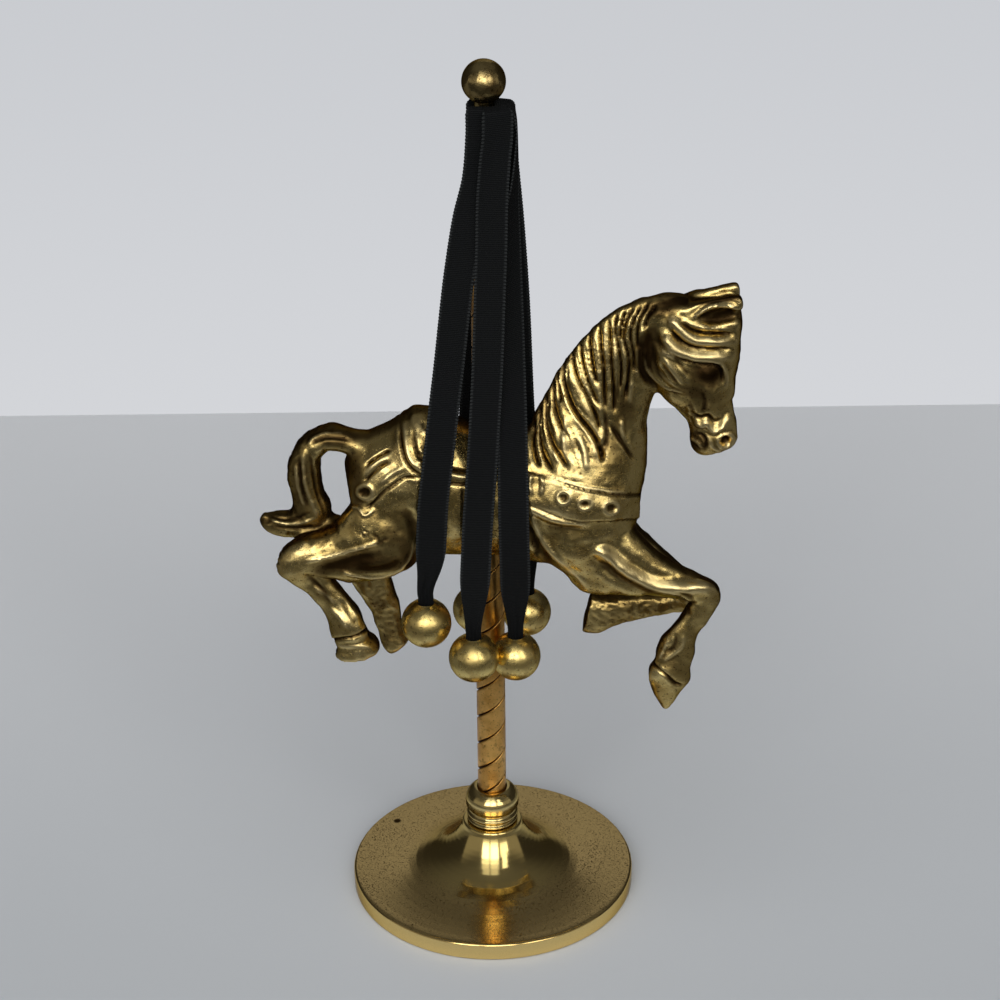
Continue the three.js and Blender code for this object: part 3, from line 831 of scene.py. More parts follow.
bodyCuts = {
    "shoulderEdge": (1.1, -0.5, 0.15, [[
        (14, 148), (16, 143), (18, 138), (20.5, 134), (24, 130), (27, 126.5), (30, 123.5), (33, 120.5),
    ]]),
    "behindShoulder": (1.5, 0.9, 0.25, [[
        (11.6, 148), (13.4, 142), (15.4, 137), (18, 132.4), (22, 127.6),
    ]]),
    "flank": (1.6, 0.6, 0.4, [[(-25, 138), (-26.2, 146), (-29, 152)]]),
    "tailRidges": (0.6, -0.3, 0.15, [
        [(-60, 175), (-57, 178), (-53, 179.4), (-47, 179)],
        [(-61.5, 171), (-61.4, 162), (-59.4, 154), (-57.6, 148)], [(-64, 168), (-63.6, 160), (-62, 152)],
        [(-74, 147.4), (-69, 145.6), (-63.6, 145.4), (-58, 147.4)],
    ]),
    "tailGrooves": (0.6, 0.4, 0.2, [
        [(-59.4, 173), (-58.4, 165), (-57.4, 157), (-55.4, 150)],
        [(-62.8, 170), (-62.4, 160), (-60.8, 152)], [(-58, 176), (-53, 177.6), (-46, 176.6)],
        [(-74.6, 149), (-70, 147.2), (-64.6, 147.4), (-60.4, 149.4)],
        [(-72, 144.4), (-65, 143.6), (-58.6, 144.6)],
    ]),
}

nearLegCuts = {
    "gaskinRidge": (0.7, -0.6, 0.15, [[
        (-37, 138.4), (-42, 136.6), (-50, 134), (-56, 132.5), (-62, 131.2),
    ]]),
    "gaskinHollow": (2.4, 1.1, 0.3, [[
        (-36, 134.6), (-42, 132.6), (-49, 129.8), (-55, 128.4), (-60, 127.8),
    ]]),
    "thighRim": (0.6, -0.5, 0.12, [[
        (-50, 126.6), (-46, 125.2), (-41, 124.2), (-35, 124.8), (-30, 127.6), (-26.6, 132.5), (-25, 138),
    ]]),
    "thighHollow": (1.6, 0.5, 0.3, [[(-46, 128), (-40, 127.4), (-34, 128.4), (-29.6, 132)]]),
    "crack": (0.5, 0.45, 0.2, [[(-39, 141.5), (-36, 137)], [(-38.4, 137.4), (-34.6, 139.6)]]),
    "hindLines": (0.7, -0.5, 0.3, [
        [(-59.5, 120.5), (-56.4, 118), (-53, 114.6)], [(-54.6, 112.4), (-51.4, 109.6), (-49.4, 106)],
    ]),
    "hindHollows": (0.9, 0.5, 0.3, [
        [(-61.6, 125.6), (-57.6, 120.2), (-54.4, 114.6)], [(-50.6, 115), (-48, 110), (-46.6, 106.4)],
    ]),
    "fetlock": (0.6, 0.9, 0.1, [[(-55, 99.6), (-50, 101.3), (-46, 102.3), (-41.6, 105)]]),
    "hoofRim": (0.8, -0.3, 0.2, [[(-53.6, 97.6), (-47, 97.6), (-41, 97)]]),
    "forearmRidge": (2.4, -2.3, 0.16, [[
        (36, 135.4), (38.4, 133.2), (41, 130.6), (45, 126.4), (50, 122.6), (55, 119.8), (62, 118.6),
        (76, 118.4),
    ]]),
    "forearmHollow": (2.4, 0.8, 0.3, [[(38, 131), (41, 127.4), (46, 123.4), (53, 119.6), (60, 117.6)]]),
    "kneeLines": (0.8, 0.4, 0.3, [
        [(60, 119), (65, 117.5), (68, 115), (70, 112)], [(66, 113.6), (67.6, 110.8), (68.6, 107.4)],
    ]),
    "tendons": (0.5, -0.6, 0.25, [
        [(61.5, 98), (59.6, 94), (59, 91.3)], [(66.8, 100), (66, 95.6), (63, 92.4), (60, 90.3)],
    ]),
    "tendonHollow": (0.6, 0.6, 0.3, [[(64.4, 100), (63.6, 96.4), (61.4, 93.2)]]),
    "coronet": (0.55, 0.8, 0.12, [[(55.4, 90.4), (58.5, 87), (61, 84.5), (64, 81), (66.4, 80)]]),
}

# Broad shapes and colour. A swell is x, z, half width, half height, turn and rise; in the last two lists the
# sixth number is how dark or how bright. The tarnish list paints shade and dark reflections, the last list
# paints highlights. A lump is height, size and seed.
body = {
    "tailTip": (-75, 146.6, 2.4, 1.1, 10, -0.5, 0.5),
    "knee": (72, 120.4, 3.2, 2.6, -20, 0.5, 0.6),
    "lumps": [(0.42, 9, 4), (0.30, 4.4, 3), (0.12, 2, 5)],
    "grit": (0.3, 1.2, 8),
    "swells": [
        (31, 162, 12, 12, 0, 2.0), (24, 178, 5, 8, 10, 0.9), (22, 150, 12, 6, -12, 1.2),
        (40, 150, 10, 6, -8, 1.0), (-35, 158, 9, 10, -20, 1.6), (-25, 174, 5, 9, 0, 1.0),
        (-36, 137, 9, 7, 0, 0.7), (-64, 129.6, 8, 5, 6, 1.5), (31, 134, 9, 7, -20, 0.9),
        (60, 208, 6, 6, -20, 0.7), (-12, 146, 6, 8, 0, 0.8), (-48.4, 104, 4.4, 6.4, 20, 2.2),
        (-46, 92.4, 6, 5, 0, 1.4), (64, 101, 4, 6, 20, 1.2), (61, 86, 5, 5, 20, 1.2),
        (76, 176.4, 5, 4, 0, 0.8), (72, 186, 4, 5, 0, 0.7),
    ],
    # Painted shade and dark reflections, laid on as darker patina
    "tarnish": [
        (-42, 129.4, 12, 3, 0, 0.7), (-31, 139, 6, 9, 0, 0.35), (-26, 130, 2.6, 7, 20, 0.5),
        (51.6, 206, 2.4, 8, 0, 0.6), (72.4, 198.6, 5, 4, 0, 0.5), (72, 190, 5, 5, 0, 0.3),
        (56.6, 223, 6, 2.6, 12, 0.8), (72, 228, 12, 3, 6, 0.9), (72, 226, 11, 1.7, 5, 0.9),
        (69, 174.6, 4, 3.4, 0, 0.7), (-51, 177.6, 10, 3, 0, 0.55), (-70, 147, 9, 3.6, 0, 0.4),
        (-63, 162, 3, 12, 0, 0.3), (45.6, 188, 3, 10, 0, 0.35), (-44, 160, 2.4, 12, 0, 0.5),
        (41, 172, 2.6, 8, -10, 0.3), (25, 141, 6, 4, -30, 0.25), (62, 91, 4, 5, 0, 0.2),
        (-58, 122, 5, 5, 0, 0.25), (66, 193, 5, 2, -10, 0.4),
    ],
    # Painted highlights: these patches are made paler and rougher so they catch the window
    "paintedHighlight": [
        (31, 172, 8, 10, 0, 0.6), (26, 160, 10, 4, -10, 0.4), (-34, 166, 6, 7, -20, 0.6),
        (-64, 134, 7, 3, 0, 0.5), (22, 148, 8, 3, -12, 0.5), (42, 131.6, 7, 2.6, -44, 0.7),
        (53, 122.6, 7, 2.4, -22, 0.7), (69, 119.6, 9, 2.4, 0, 0.7), (58.6, 84.6, 2.6, 2.4, 0, 0.6),
        (-49, 110, 3, 6, 20, 0.6), (-46, 96, 4, 3, 0, 0.6), (60, 206, 5, 4, 0, 0.4),
        (40, 208, 4, 8, 0, 0.4), (32, 196, 5, 8, 0, 0.4), (75, 180.6, 5, 2.4, 0, 0.6),
        (-24, 182, 3, 5, 0, 0.6), (-26, 160, 5, 3, 20, 0.5), (20, 149, 8, 2, -14, 0.6),
        (30, 154, 14, 4, -14, 0.4), (63, 94, 5, 4, 60, 0.4), (72, 206, 8, 2, 0, 0.5),
    ],
}


# The casting's metal: dark patina in its hollows plus painted shade, rubbed bright on its high places plus
# painted highlights
def brassFinish(name, brass):
    finish, start, shader = newFinish(name, {"Metallic": 1.0, "Specular Tint": rgb(0.16, 0.12, 0.08)})
    place = start.place()
    # The hollow attribute holds patina and painted shade; the other holds rubbed wear and painted highlights
    hollow = start.mark("hollow")
    wornAndHighlight = start.mark("wornAndHighlight")
    cloud = start.noise(place, 130.0, 4.0)
    speck = start.noise(place, 1300.0, 2.0)
    coarse = start.noise(place, 420.0, 3.0)
    pit = (speck + (cloud - 0.5) * 0.25).rise(0.60, 0.72)
    patinaAndShade = (hollow + (cloud - 0.5) * 0.45 * (1 - wornAndHighlight) + pit * 0.5 - wornAndHighlight * 0.35).limited()
    tone = start.mix(cloud.rise(0.35, 0.65), brass["bright"], brass["warm"])
    tone = start.mix(patinaAndShade.rise(0.0, 0.55), tone, brass["dull"])
    tone = start.mix(patinaAndShade.rise(0.45, 1.0), tone, brass["patina"])
    # The pale rubbed tone also paints the highlights
    tone = start.mix(wornAndHighlight * brass["rubAndHighlight"], tone, brass["rubbedAndHighlight"])
    rough = (brass["rough"] + patinaAndShade * 0.24 + wornAndHighlight * 0.08 + (coarse - 0.5) * 0.16).limited()
    grain = start.noise(place, 900.0, 2.0)
    ripple = start.bump(coarse + grain * 0.35, 0.28 * mm, brass["ripple"])
    pits = start.bump(pit, -0.08 * mm, 0.5, ripple)
    plug(start, shader, {"Base Color": tone, "Roughness": rough, "Normal": pits})
    return finish


def carveSide(relief):
    for patch in face["patches"]:
        relief.patch(*patch)
    relief.strokes(*mane["main"])
    relief.patch(*mane["hollow"])
    relief.strokes(1.15, 0.7, 0.15, mane["locks"], 0.1)
    relief.strokes(0.42, 0.8, 0.1, mane["locks"], 0.9)
    for cut in (mane["fine"], mane["ridges"], mane["folds"], *faceCuts.values()):
        relief.strokes(*cut)
    relief.stud(*face["nostril"])
    relief.strip(tack["strapTop"], tack["strapFoot"], tack["strapRise"])
    for cut in (*tackCuts.values(), *bodyCuts.values()):
        relief.strokes(*cut)
    for stud in tack["studs"]:
        relief.stud(*stud)
    relief.patch(*body["tailTip"])
    relief.allowed = relief.allowed * (1 - stepUp(relief.z, *tack["blanketTop"]))
    for name in ("blanketGrooves", "blanketRidges"):
        relief.strokes(*tack[name])


def carveNearLegs(relief):
    for cut in nearLegCuts.values():
        relief.strokes(*cut)
    relief.patch(*body["knee"])


# All the patches of one list, added up
def daubs(points, allowed, name, edge):
    painted = Relief(points, allowed)
    for patch in body[name]:
        painted.patch(*patch, edge)
    return painted.height


def modelHorse():
    clay = Clay(horse["corner"], horse["far"], horse["grid"])
    clay.limb(horse["trunk"], 0.5, steps=14, capShare=0.08, square=1.95)
    clay.limb(horse["neck"], 4, square=1.85)
    clay.limb(horse["chest"], 5, square=2)
    clay.limb(horse["head"], 2.5, flatEnds=(0, -1))
    clay.limb(horse["tail"], 2, square=2.2)
    clay.limb(horse["tailRoot"], 1.5, square=2.2)
    clay.limb(horse["brow"], 1.5)
    clay.limb(horse["poll"], 1.5, square=4)
    clay.limb(horse["nearFore"], 2.5, high=-5)
    clay.limb(horse["elbow"], 2)
    clay.limb(horse["farFore"], 2.5, low=4.6, flatEnds=(-1,))
    clay.limb(horse["nearHind"], 2.5, high=-4.6, flatEnds=(-1,))
    clay.limb(horse["farHind"], 2.5, low=4.4, flatEnds=(-1,))
    for side in (-1, 1):
        clay.limb([(x, z, y * side, a, b) for x, z, y, a, b in horse["ear"]], 0.8, square=4)
    wide = horse["poleHole"] + 3
    box = clay.window((-wide, *horse["corner"][1:]), (wide, *horse["far"][1:]))
    x, y, z = clay.grids(box)
    clay.field[box] = np.maximum(clay.field[box], horse["poleHole"] - np.hypot(x, y))
    points, faces = clay.skin()
    net = Net(points, faces)
    net.relax(4)
    print("horse body:", len(points), "points", 2 * len(faces), "triangles")
    return clay, net


def makeHorse():
    clay, net = modelHorse()
    # Carving lies on faces that look sideways, clear of the pole's hole
    normals = net.normals()
    shelter = clay.shelter(net.points, 9)
    side = np.sign(net.points[:, 1] + 1e-6)
    facing = normals[:, 1] * side
    outward = stepUp(facing, 0.12, 0.5)
    atPole = stepUp(np.hypot(net.points[:, 0], net.points[:, 1]), 6.0, 7.5)
    relief = Relief(net.points, outward * atPole)
    carveSide(relief)
    relief.allowed = outward * (net.points[:, 1] < -3) * atPole
    carveNearLegs(relief)
    # The skin is rougher on the tail and on the legs' inner faces
    rough = stepUp(-net.points[:, 0], 46, 52) * stepUp(net.points[:, 2], 140, 143)
    inner = stepUp(-facing, 0.3, 0.8) * stepUp(-net.points[:, 2], -150, -140)
    coarse = daubs(net.points, outward * atPole, "swells", 0.9) + sum(
        high * lumps(net.points, size, seed) for high, size, seed in body["lumps"]
    )
    high, size, seed = body["grit"]
    grit = high * lumps(net.points, size, seed) * np.maximum(rough * 0.6, inner)
    height = relief.height + coarse * atPole + grit
    net.points = net.points + normals * height[:, None]
    net.relax(1, 0.3)
    # Patina gathers in hollows; the tail and the legs' inner faces are a little darker. Painted shade
    # darkens sheltered places, the faces that turn away from the front and the tarnish patches; the metal is
    # darker towards the bottom. What stands out is rubbed, and the highlight patches are painted brighter
    hollow = net.hollow(1) * 7
    # Painted shade: darker where much metal surrounds a point, as under the belly and between the legs
    occlusionShade = stepUp(shelter, 0.52, 0.80)
    # Painted shade: a dark rim on faces that turn away from the front, along the outline
    edgeShade = 1 - stepUp(np.abs(facing), 0.2, 0.62)
    low = stepUp(-net.points[:, 2], -132, -112) * 0.16
    # The tarnish patches are painted shade and dark reflections; the other list is painted highlights
    tarnish, paintedHighlight = (daubs(net.points, outward, name, 0.6) for name in ("tarnish", "paintedHighlight"))
    shade = 0.7 * relief.dark + 0.7 * np.clip(hollow, 0, 1) + 0.9 * occlusionShade + 0.1 * inner + 0.1 * rough
    hollow = np.clip(shade * (1 - 0.4 * paintedHighlight) + 0.55 * edgeShade + low + tarnish - 0.25 * paintedHighlight, 0, 1)
    # Rubbed wear on ridges and high places, plus the painted highlight patches
    wornAndHighlight = np.clip(relief.wornAndHighlight * 0.8 + paintedHighlight * 0.5 + np.clip(-net.hollow(2) * 9, 0, 0.8) - hollow, 0, 1)
    finish = brassFinish("castBrass", {
        "bright": rgb(0.74, 0.57, 0.23), "warm": rgb(0.57, 0.41, 0.145), "dull": rgb(0.20, 0.135, 0.05),
        "patina": rgb(0.042, 0.024, 0.009), "rubbedAndHighlight": rgb(0.98, 0.80, 0.42), "rubAndHighlight": 0.8,
        "rough": 0.25, "ripple": 0.35,
    })
    made = asMesh("castHorse", net.points, net.faces, finish, {"hollow": hollow, "wornAndHighlight": wornAndHighlight})
    settle(made, "horse")


# A turned body: profile corners as (radius, height), closed on itself or from axis to axis
def turnedSkin(profile, around):
    profile = np.asarray(profile, float)
    angles = np.arange(around) / around * 2 * math.pi
    rows, faces, first = [], [], []
    count = 0
    for radius, height in profile:
        first.append(count)
        if radius < 1e-6:
            rows.append([(0, 0, height)])
            count += 1
        else:
            rows.append(np.stack([radius * np.cos(angles), radius * np.sin(angles), 0 * angles + height], 1))
            count += around
    closed = profile[0, 0] > 1e-6
    pairs = [(i, (i + 1) % len(profile)) for i in range(len(profile) - (0 if closed else 1))]
    for i, k in pairs:
        for j in range(around):
            n = (j + 1) % around
            low = (first[i] + j, first[i] + n) if profile[i, 0] > 1e-6 else (first[i],)
            high = (first[k] + n, first[k] + j) if profile[k, 0] > 1e-6 else (first[k],)
            faces.append(low + high)
    return np.vstack(rows), faces


# Rounds the corners of a profile: each corner becomes a short curve of three points
def eased(profile, amount, closed=True):
    profile = np.asarray(profile, float)
    made = []
    last = len(profile) - 1
    for i, corner in enumerate(profile):
        if not closed and i in (0, last):
            made.append(corner)
            continue
        before, after = profile[i - 1], profile[(i + 1) % len(profile)]
        arms = [(end - corner) for end in (before, after)]
        arms = [arm * min(amount / max(np.hypot(*arm), 1e-6), 0.4) for arm in arms]
        a, b = corner + arms[0], corner + arms[1]
        made += [a, (a + b + 2 * corner) / 4, b]
    return np.array(made)


def polishedFinish(name, brass):
    finish, start, shader = newFinish(name, {"Metallic": 1.0, "Specular Tint": rgb(0.45, 0.38, 0.28)})
    place = start.place()
    cloud = start.noise(place, brass["cloud"], 4.0)
    speck = start.noise(place, brass["speck"], 2.0)
    pit = speck.rise(0.60, 0.70)
    tarnish = (cloud.rise(0.40, 0.68) * brass["tarnish"] + pit * brass["pitted"]).limited()
    tone = start.mix(tarnish, brass["bright"], brass["dull"])
    tone = start.mix(pit * brass["pitted"], tone, brass["patina"])
    rough = (brass["rough"] + tarnish * 0.2).limited()
    dents = start.bump(cloud, 0.5 * mm, brass["dents"])
    plug(start, shader, {"Base Color": tone, "Roughness": rough, "Normal": dents})
    return finish


# Base and cone: turned brass, peppered with small dark pits where it lies nearly flat, brighter on the cone
base = {
    "profile": [
        (0, 0.5), (46, 0.5), (46.6, 0), (49.4, 0), (50, 0.6), (50, 6.0), (49.5, 6.55), (48.6, 6.66),
        (46, 6.7),
        (42, 6.85), (38, 7.05), (34, 7.35), (30.5, 7.8), (27.5, 8.5), (25, 9.4), (22.6, 10.5), (20.4, 11.8),
        (18.5, 13.2), (16.9, 14.6), (15.5, 16.1), (14.3, 17.6), (13.2, 19.2), (12.3, 20.8), (11.6, 22.2),
        (11.0, 23.6), (10.6, 25.0), (10.3, 25.4), (9.6, 25.5), (5.4, 25.4), (5.4, 8.7), (0, 8.7),
    ],
    "around": 200,
    "flat": (21, 31),
    "rim": (49.4, 49.9),
    "stain": (-35.1, 25.4, 7.0),
    "stainEdge": (0.9, 1.8),
}


def millimetres(name):
    return [value * mm for value in base[name]]


def baseFinish():
    finish, start, shader = newFinish("turnedBrass", {
        "Metallic": 1.0, "Anisotropic": 0.35, "Anisotropic Rotation": 0.25,
        "Specular Tint": rgb(0.55, 0.48, 0.38),
    })
    place = start.place()
    x, y, z = place.parts()
    radius = (x * x + y * y) ** 0.5
    flat = radius.rise(*millimetres("flat"))
    edge = radius.rise(*millimetres("rim"))
    speck = start.noise(place, 1900.0, 2.0, 0.5)
    grain = start.noise(place, 3200.0, 1.0)
    cloud = start.noise(place, 45.0, 3.0)
    pits = (speck + (cloud - 0.5) * 0.16).rise(0.53, 0.68)
    heavy = start.noise(place, 1150.0, 3.0).rise(0.64, 0.70)
    pits = (pits * 0.75 + heavy * 0.8).limited() * (0.06 + flat * 0.94) * (1 - edge * 0.75)
    lathe = start.node("ShaderNodeCombineXYZ", None, {0: radius, 1: z, 2: 0.0})
    rings = start.noise(lathe, 2400.0, 2.0)
    around = start.noise(start.stretched(lathe, (1.0, 1.0, 0.0)), 700.0, 2.0)
    ends = {0: place, 1: millimetres("stain")}
    away = start.node("ShaderNodeVectorMath", {"operation": "DISTANCE"}, ends, 1)
    stain = 1 - away.rise(*millimetres("stainEdge"))
    tone = start.mix(flat * (0.55 + cloud * 0.45), rgb(0.80, 0.62, 0.25), rgb(0.90, 0.66, 0.29))
    tone = start.mix((grain - 0.4).rise(0.0, 0.3) * flat * 0.3, tone, rgb(0.33, 0.23, 0.10))
    tone = start.mix(pits, tone, rgb(0.07, 0.045, 0.02))
    tone = start.mix(edge * 0.7, tone, rgb(0.90, 0.67, 0.26))
    tone = start.mix(stain, tone, rgb(0.05, 0.03, 0.015))
    rough = (0.13 + flat * 0.015 + pits * 0.2 + (around - 0.5) * 0.05).limited()
    lines = start.bump(rings, 0.05 * mm, 0.12)
    skin = start.bump(grain * flat * 0.5 + pits * -0.8, 0.05 * mm, 0.18, lines)
    plug(start, shader, {"Base Color": tone, "Roughness": rough, "Normal": skin})
    return finish


def makeBase():
    outline = eased(base["profile"], 0.35, closed=False)
    points, faces = turnedSkin(outline, base["around"])
    made = asMesh("turnedBase", points, faces, baseFinish())
    settle(made, "base")


collar = {
    "profile": [
        (5.3, 25.7), (8.5, 25.7), (8.95, 26.0), (8.95, 26.6), (8.35, 27.0), (8.3, 27.5), (8.9, 27.9),
        (9.1, 28.4),
        (9.0, 29.0), (8.4, 29.5), (8.15, 30.1), (8.25, 30.8), (8.7, 31.3), (9.25, 31.7), (9.4, 32.2),
        (9.4, 34.6),
        (9.3, 35.2), (9.0, 36.1), (8.5, 37.0), (7.8, 37.9), (7.0, 38.6), (6.2, 39.0), (5.3, 39.05),
    ],
}


def makeCollar():
    finish = polishedFinish("polishedBrass", {
        "cloud": 120.0, "speck": 1500.0, "bright": rgb(0.88, 0.70, 0.31), "dull": rgb(0.55, 0.38, 0.15),
        "patina": rgb(0.08, 0.05, 0.02), "tarnish": 0.5, "pitted": 0.35, "rough": 0.12, "dents": 0.1,
    })
    points, faces = turnedSkin(eased(collar["profile"], 0.18), 160)
    made = asMesh("turnedCollar", points, faces, finish)
    settle(made, "collar")


pole = {
    "radius": 5.0, "foot": 9.0, "top": 290.6, "lead": 21.8, "phaseHeight": 46.3, "grooveHalf": 9.5,
    "grooveDepth": 0.6, "row": 0.55, "ease": 0.35,
    # Places round the section in degrees: half a groove from its middle, then the plain part
    "grooveSteps": (0, 1.8, 3.6, 5.4, 6.8, 8.2, 9.5), "plainSteps": (18.5, 164, 9),
}


# Pole: coppery brass with two spiral grooves, right-handed, each climbing one lead a turn
def makePole():
    offsets = np.array(pole["grooveSteps"])
    offsets = np.concatenate([-offsets[:0:-1], offsets])
    plain = np.arange(*pole["plainSteps"])
    section = np.concatenate([offsets, plain, offsets + 180, plain + 180])
    cut = np.clip(1 - np.abs((section + 90) % 180 - 90) / pole["grooveHalf"], 0, 1)
    heights = np.arange(pole["foot"], pole["top"], pole["row"])
    heights = np.append(heights, pole["top"])
    turn = 180 + 360 * (heights - pole["phaseHeight"]) / pole["lead"]
    angle = np.radians(section[None, :] + turn[:, None])
    depth = pole["grooveDepth"] * stepUp(cut, 0, 0.8)
    radius = np.repeat((pole["radius"] - depth)[None, :], len(heights), 0)
    ends = np.minimum(heights - heights[0], heights[-1] - heights)
    radius -= (pole["ease"] * np.clip(1 - ends / pole["ease"], 0, 1) ** 2)[:, None]
    points = np.stack([radius * np.cos(angle), radius * np.sin(angle), heights[:, None] + 0 * radius], 2)
    count, around = radius.shape
    grooved = np.repeat(cut[None, :], count, 0).ravel()
    number = np.arange(count * around).reshape(count, around)
    caps = [number[0, ::-1].tolist(), number[-1].tolist()]
    faces = quads(np.hstack([number, number[:, :1]])).tolist() + caps
    finish, start, shader = newFinish("copperBrass", {"Metallic": 1.0})
    place = start.place()
    groove = start.mark("groove")
    cloud = start.noise(place, 140.0, 4.0)
    speck = start.noise(place, 1500.0, 2.0)
    drawn = start.noise(start.stretched(place, (1.0, 1.0, 0.06)), 1700.0, 2.0)
    pit = speck.rise(0.62, 0.70)
    stain = start.noise(place, 420.0, 3.0).rise(0.56, 0.7)
    top = place.parts()[2].rise(0.285, 0.288)
    dark = (groove.rise(0.1, 0.6) * 0.97 + pit * 0.5 + stain * 0.4 + top).limited()
    tone = start.mix(cloud.rise(0.35, 0.65), rgb(0.86, 0.51, 0.155), rgb(0.62, 0.33, 0.085))
    tone = start.mix(dark, tone, rgb(0.05, 0.024, 0.01))
    rough = (0.24 + cloud * 0.12 + dark * 0.25).limited()
    skin = start.bump(drawn + cloud * 1.5, 0.08 * mm, 0.5)
    plug(start, shader, {"Base Color": tone, "Roughness": rough, "Normal": skin})
    made = asMesh("spiralPole", points.reshape(-1, 3), faces, finish, {"groove": grooved})
    settle(made, "pole")


ball = {"radius": 8.5, "hole": 2.9, "holeDepth": 4.5}


def ballProfile(radius, hole, depth):
    lip = math.sqrt(radius**2 - hole**2)
    top = math.atan2(hole + 0.5, math.sqrt(radius**2 - (hole + 0.5) ** 2))
    sphere = [(radius * math.sin(a), -radius * math.cos(a)) for a in np.linspace(0, math.pi - top, 48)]
    sphere[0] = (0, -radius)
    mouth = [(hole + 0.18, lip + 0.02), (hole, lip - 0.25)]
    return sphere + mouth + [(hole, lip - depth), (0, lip - depth - 0.6)]


def makeBalls():
    finish = polishedFinish("satinBrass", {
        "cloud": 210.0, "speck": 900.0, "bright": rgb(0.90, 0.71, 0.28), "dull": rgb(0.52, 0.37, 0.14),
        "patina": rgb(0.06, 0.04, 0.015), "tarnish": 0.65, "pitted": 0.45, "rough": 0.24, "dents": 0.35,
    })
    for k, letter in enumerate("abcde"):
        low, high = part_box("ball_" + letter)
        centre = (low + high) / 2 / mm
        centre.z = low.z / mm + ball["radius"]
        points, faces = turnedSkin(ballProfile(ball["radius"], ball["hole"], ball["holeDepth"]), 72)
        points = points + 0.03 * lumps(points + 40 * k, 3.5, 11)[:, None] * points / ball["radius"]
        made = asMesh("ball" + letter.upper(), points + np.array(centre), faces, finish)
        settle(made, "ball_" + letter)


def makeFinial():
    low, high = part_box("finial_ball")
    radius = (high.x - low.x) / 2 / mm
    middle = high.z / mm - radius
    foot = low.z / mm - middle
    neckAngle = math.asin(3.1 / radius)
    sphere = [(radius * math.sin(a), -radius * math.cos(a)) for a in np.linspace(neckAngle, math.pi, 44)]
    sphere[-1] = (0, radius)
    points, faces = turnedSkin([(0, foot), (2.9, foot), (3.1, foot + 0.2)] + sphere, 72)
    points = points + 0.06 * lumps(points, 2.6, 17)[:, None] * points / radius
    # A darker copy of the brass: painted shade standing in for the dark room the finial reflects, over heavy
    # tarnish
    finish = polishedFinish("wornAndShadedBrass", {
        "cloud": 260.0, "speck": 900.0, "bright": rgb(0.56, 0.43, 0.19), "dull": rgb(0.20, 0.13, 0.05),
        "patina": rgb(0.05, 0.03, 0.012), "tarnish": 0.85, "pitted": 0.5, "rough": 0.17, "dents": 0.6,
    })
    made = asMesh("finialBall", points + (0, 0, middle), faces, finish)
    settle(made, "finial_ball")


# Ribbons: black grosgrain with small loops along both edges. A station is x, y, z, the way the outer face
# looks in degrees; the top end folds over the pole's rim and the foot is gathered into its ball's hole.
ribbons = {
    "width": 9.8, "narrow": 5.2, "thick": 0.5, "gather": 23.0, "row": 0.3, "columns": 12, "loop": 0.22,
    "loopPitch": 1.15, "tuck": 2.2, "foldRadius": 3.4, "foldHeight": 293.3, "foldWide": 6.4,
    "cordPitch": 0.62, "threadPitch": 0.4, "bow": 0.35, "pucker": 0.55, "wave": 0.12, "waveLength": 17.0,
    "a": [
        (-0.8, -5.9, 292.2, 262), (-0.9, -6.1, 284, 262), (-2.1, -6.4, 271, 262), (-5.3, -7.2, 258, 260),
        (-8.1, -8.2, 241.5, 258), (-9.8, -9.2, 229, 258), (-12.3, -11, 208, 260), (-14, -13.2, 195.4, 262),
        (-15.4, -15.4, 184, 266), (-16.8, -16.6, 173, 268), (-18.4, -16.6, 159, 270),
        (-19.7, -15.4, 138.5, 270),
    ],
    "b": [
        (4.2, -7.7, 292.2, 285), (4, -7.9, 284, 284), (3.2, -8.2, 277, 280), (2.2, -8.8, 263.5, 274),
        (1.8, -9.6, 249, 271), (1.2, -10.8, 234.6, 270), (0, -14, 206.6, 270), (-1.5, -16.6, 183.3, 270),
        (-2.5, -17.6, 169, 270), (-3.5, -18, 157, 270), (-4.7, -19.6, 135.9, 270),
    ],
    "c": [
        (9.7, -0.6, 290.2, 0), (10.2, -0.8, 284, 0), (9.6, -1.6, 270, -10), (8.7, -2.6, 260, -22),
        (8, -4.4, 240, -42), (8, -6.8, 222, -52), (8, -10, 203, -62), (8, -13.4, 184, -74),
        (8.1, -16.6, 166, -83),
        (8.2, -17, 152, -88), (8.5, -15.2, 135, -90), (8.6, -12.6, 120, -90),
    ],
    "d": [
        (5, 7.4, 289.6, 75), (5.2, 7.6, 283, 75), (6, 8, 270, 76), (7.6, 9, 250, 78), (9.3, 11, 221, 82),
        (10.4, 14, 189, 86), (11.2, 16.4, 170, 88), (11.8, 17.6, 152, 90), (12.6, 18, 126, 90),
    ],
    "e": [
        (-0.6, 6.1, 289.6, 95), (-0.7, 6.3, 283, 95), (-1, 7, 270, 95), (-1.6, 8.4, 250, 94),
        (-2.6, 11, 217, 93),
        (-3.6, 13.8, 193, 92), (-4.5, 15.6, 178, 91), (-4.8, 17.4, 160, 90), (-4.6, 18, 126, 90),
    ],
}


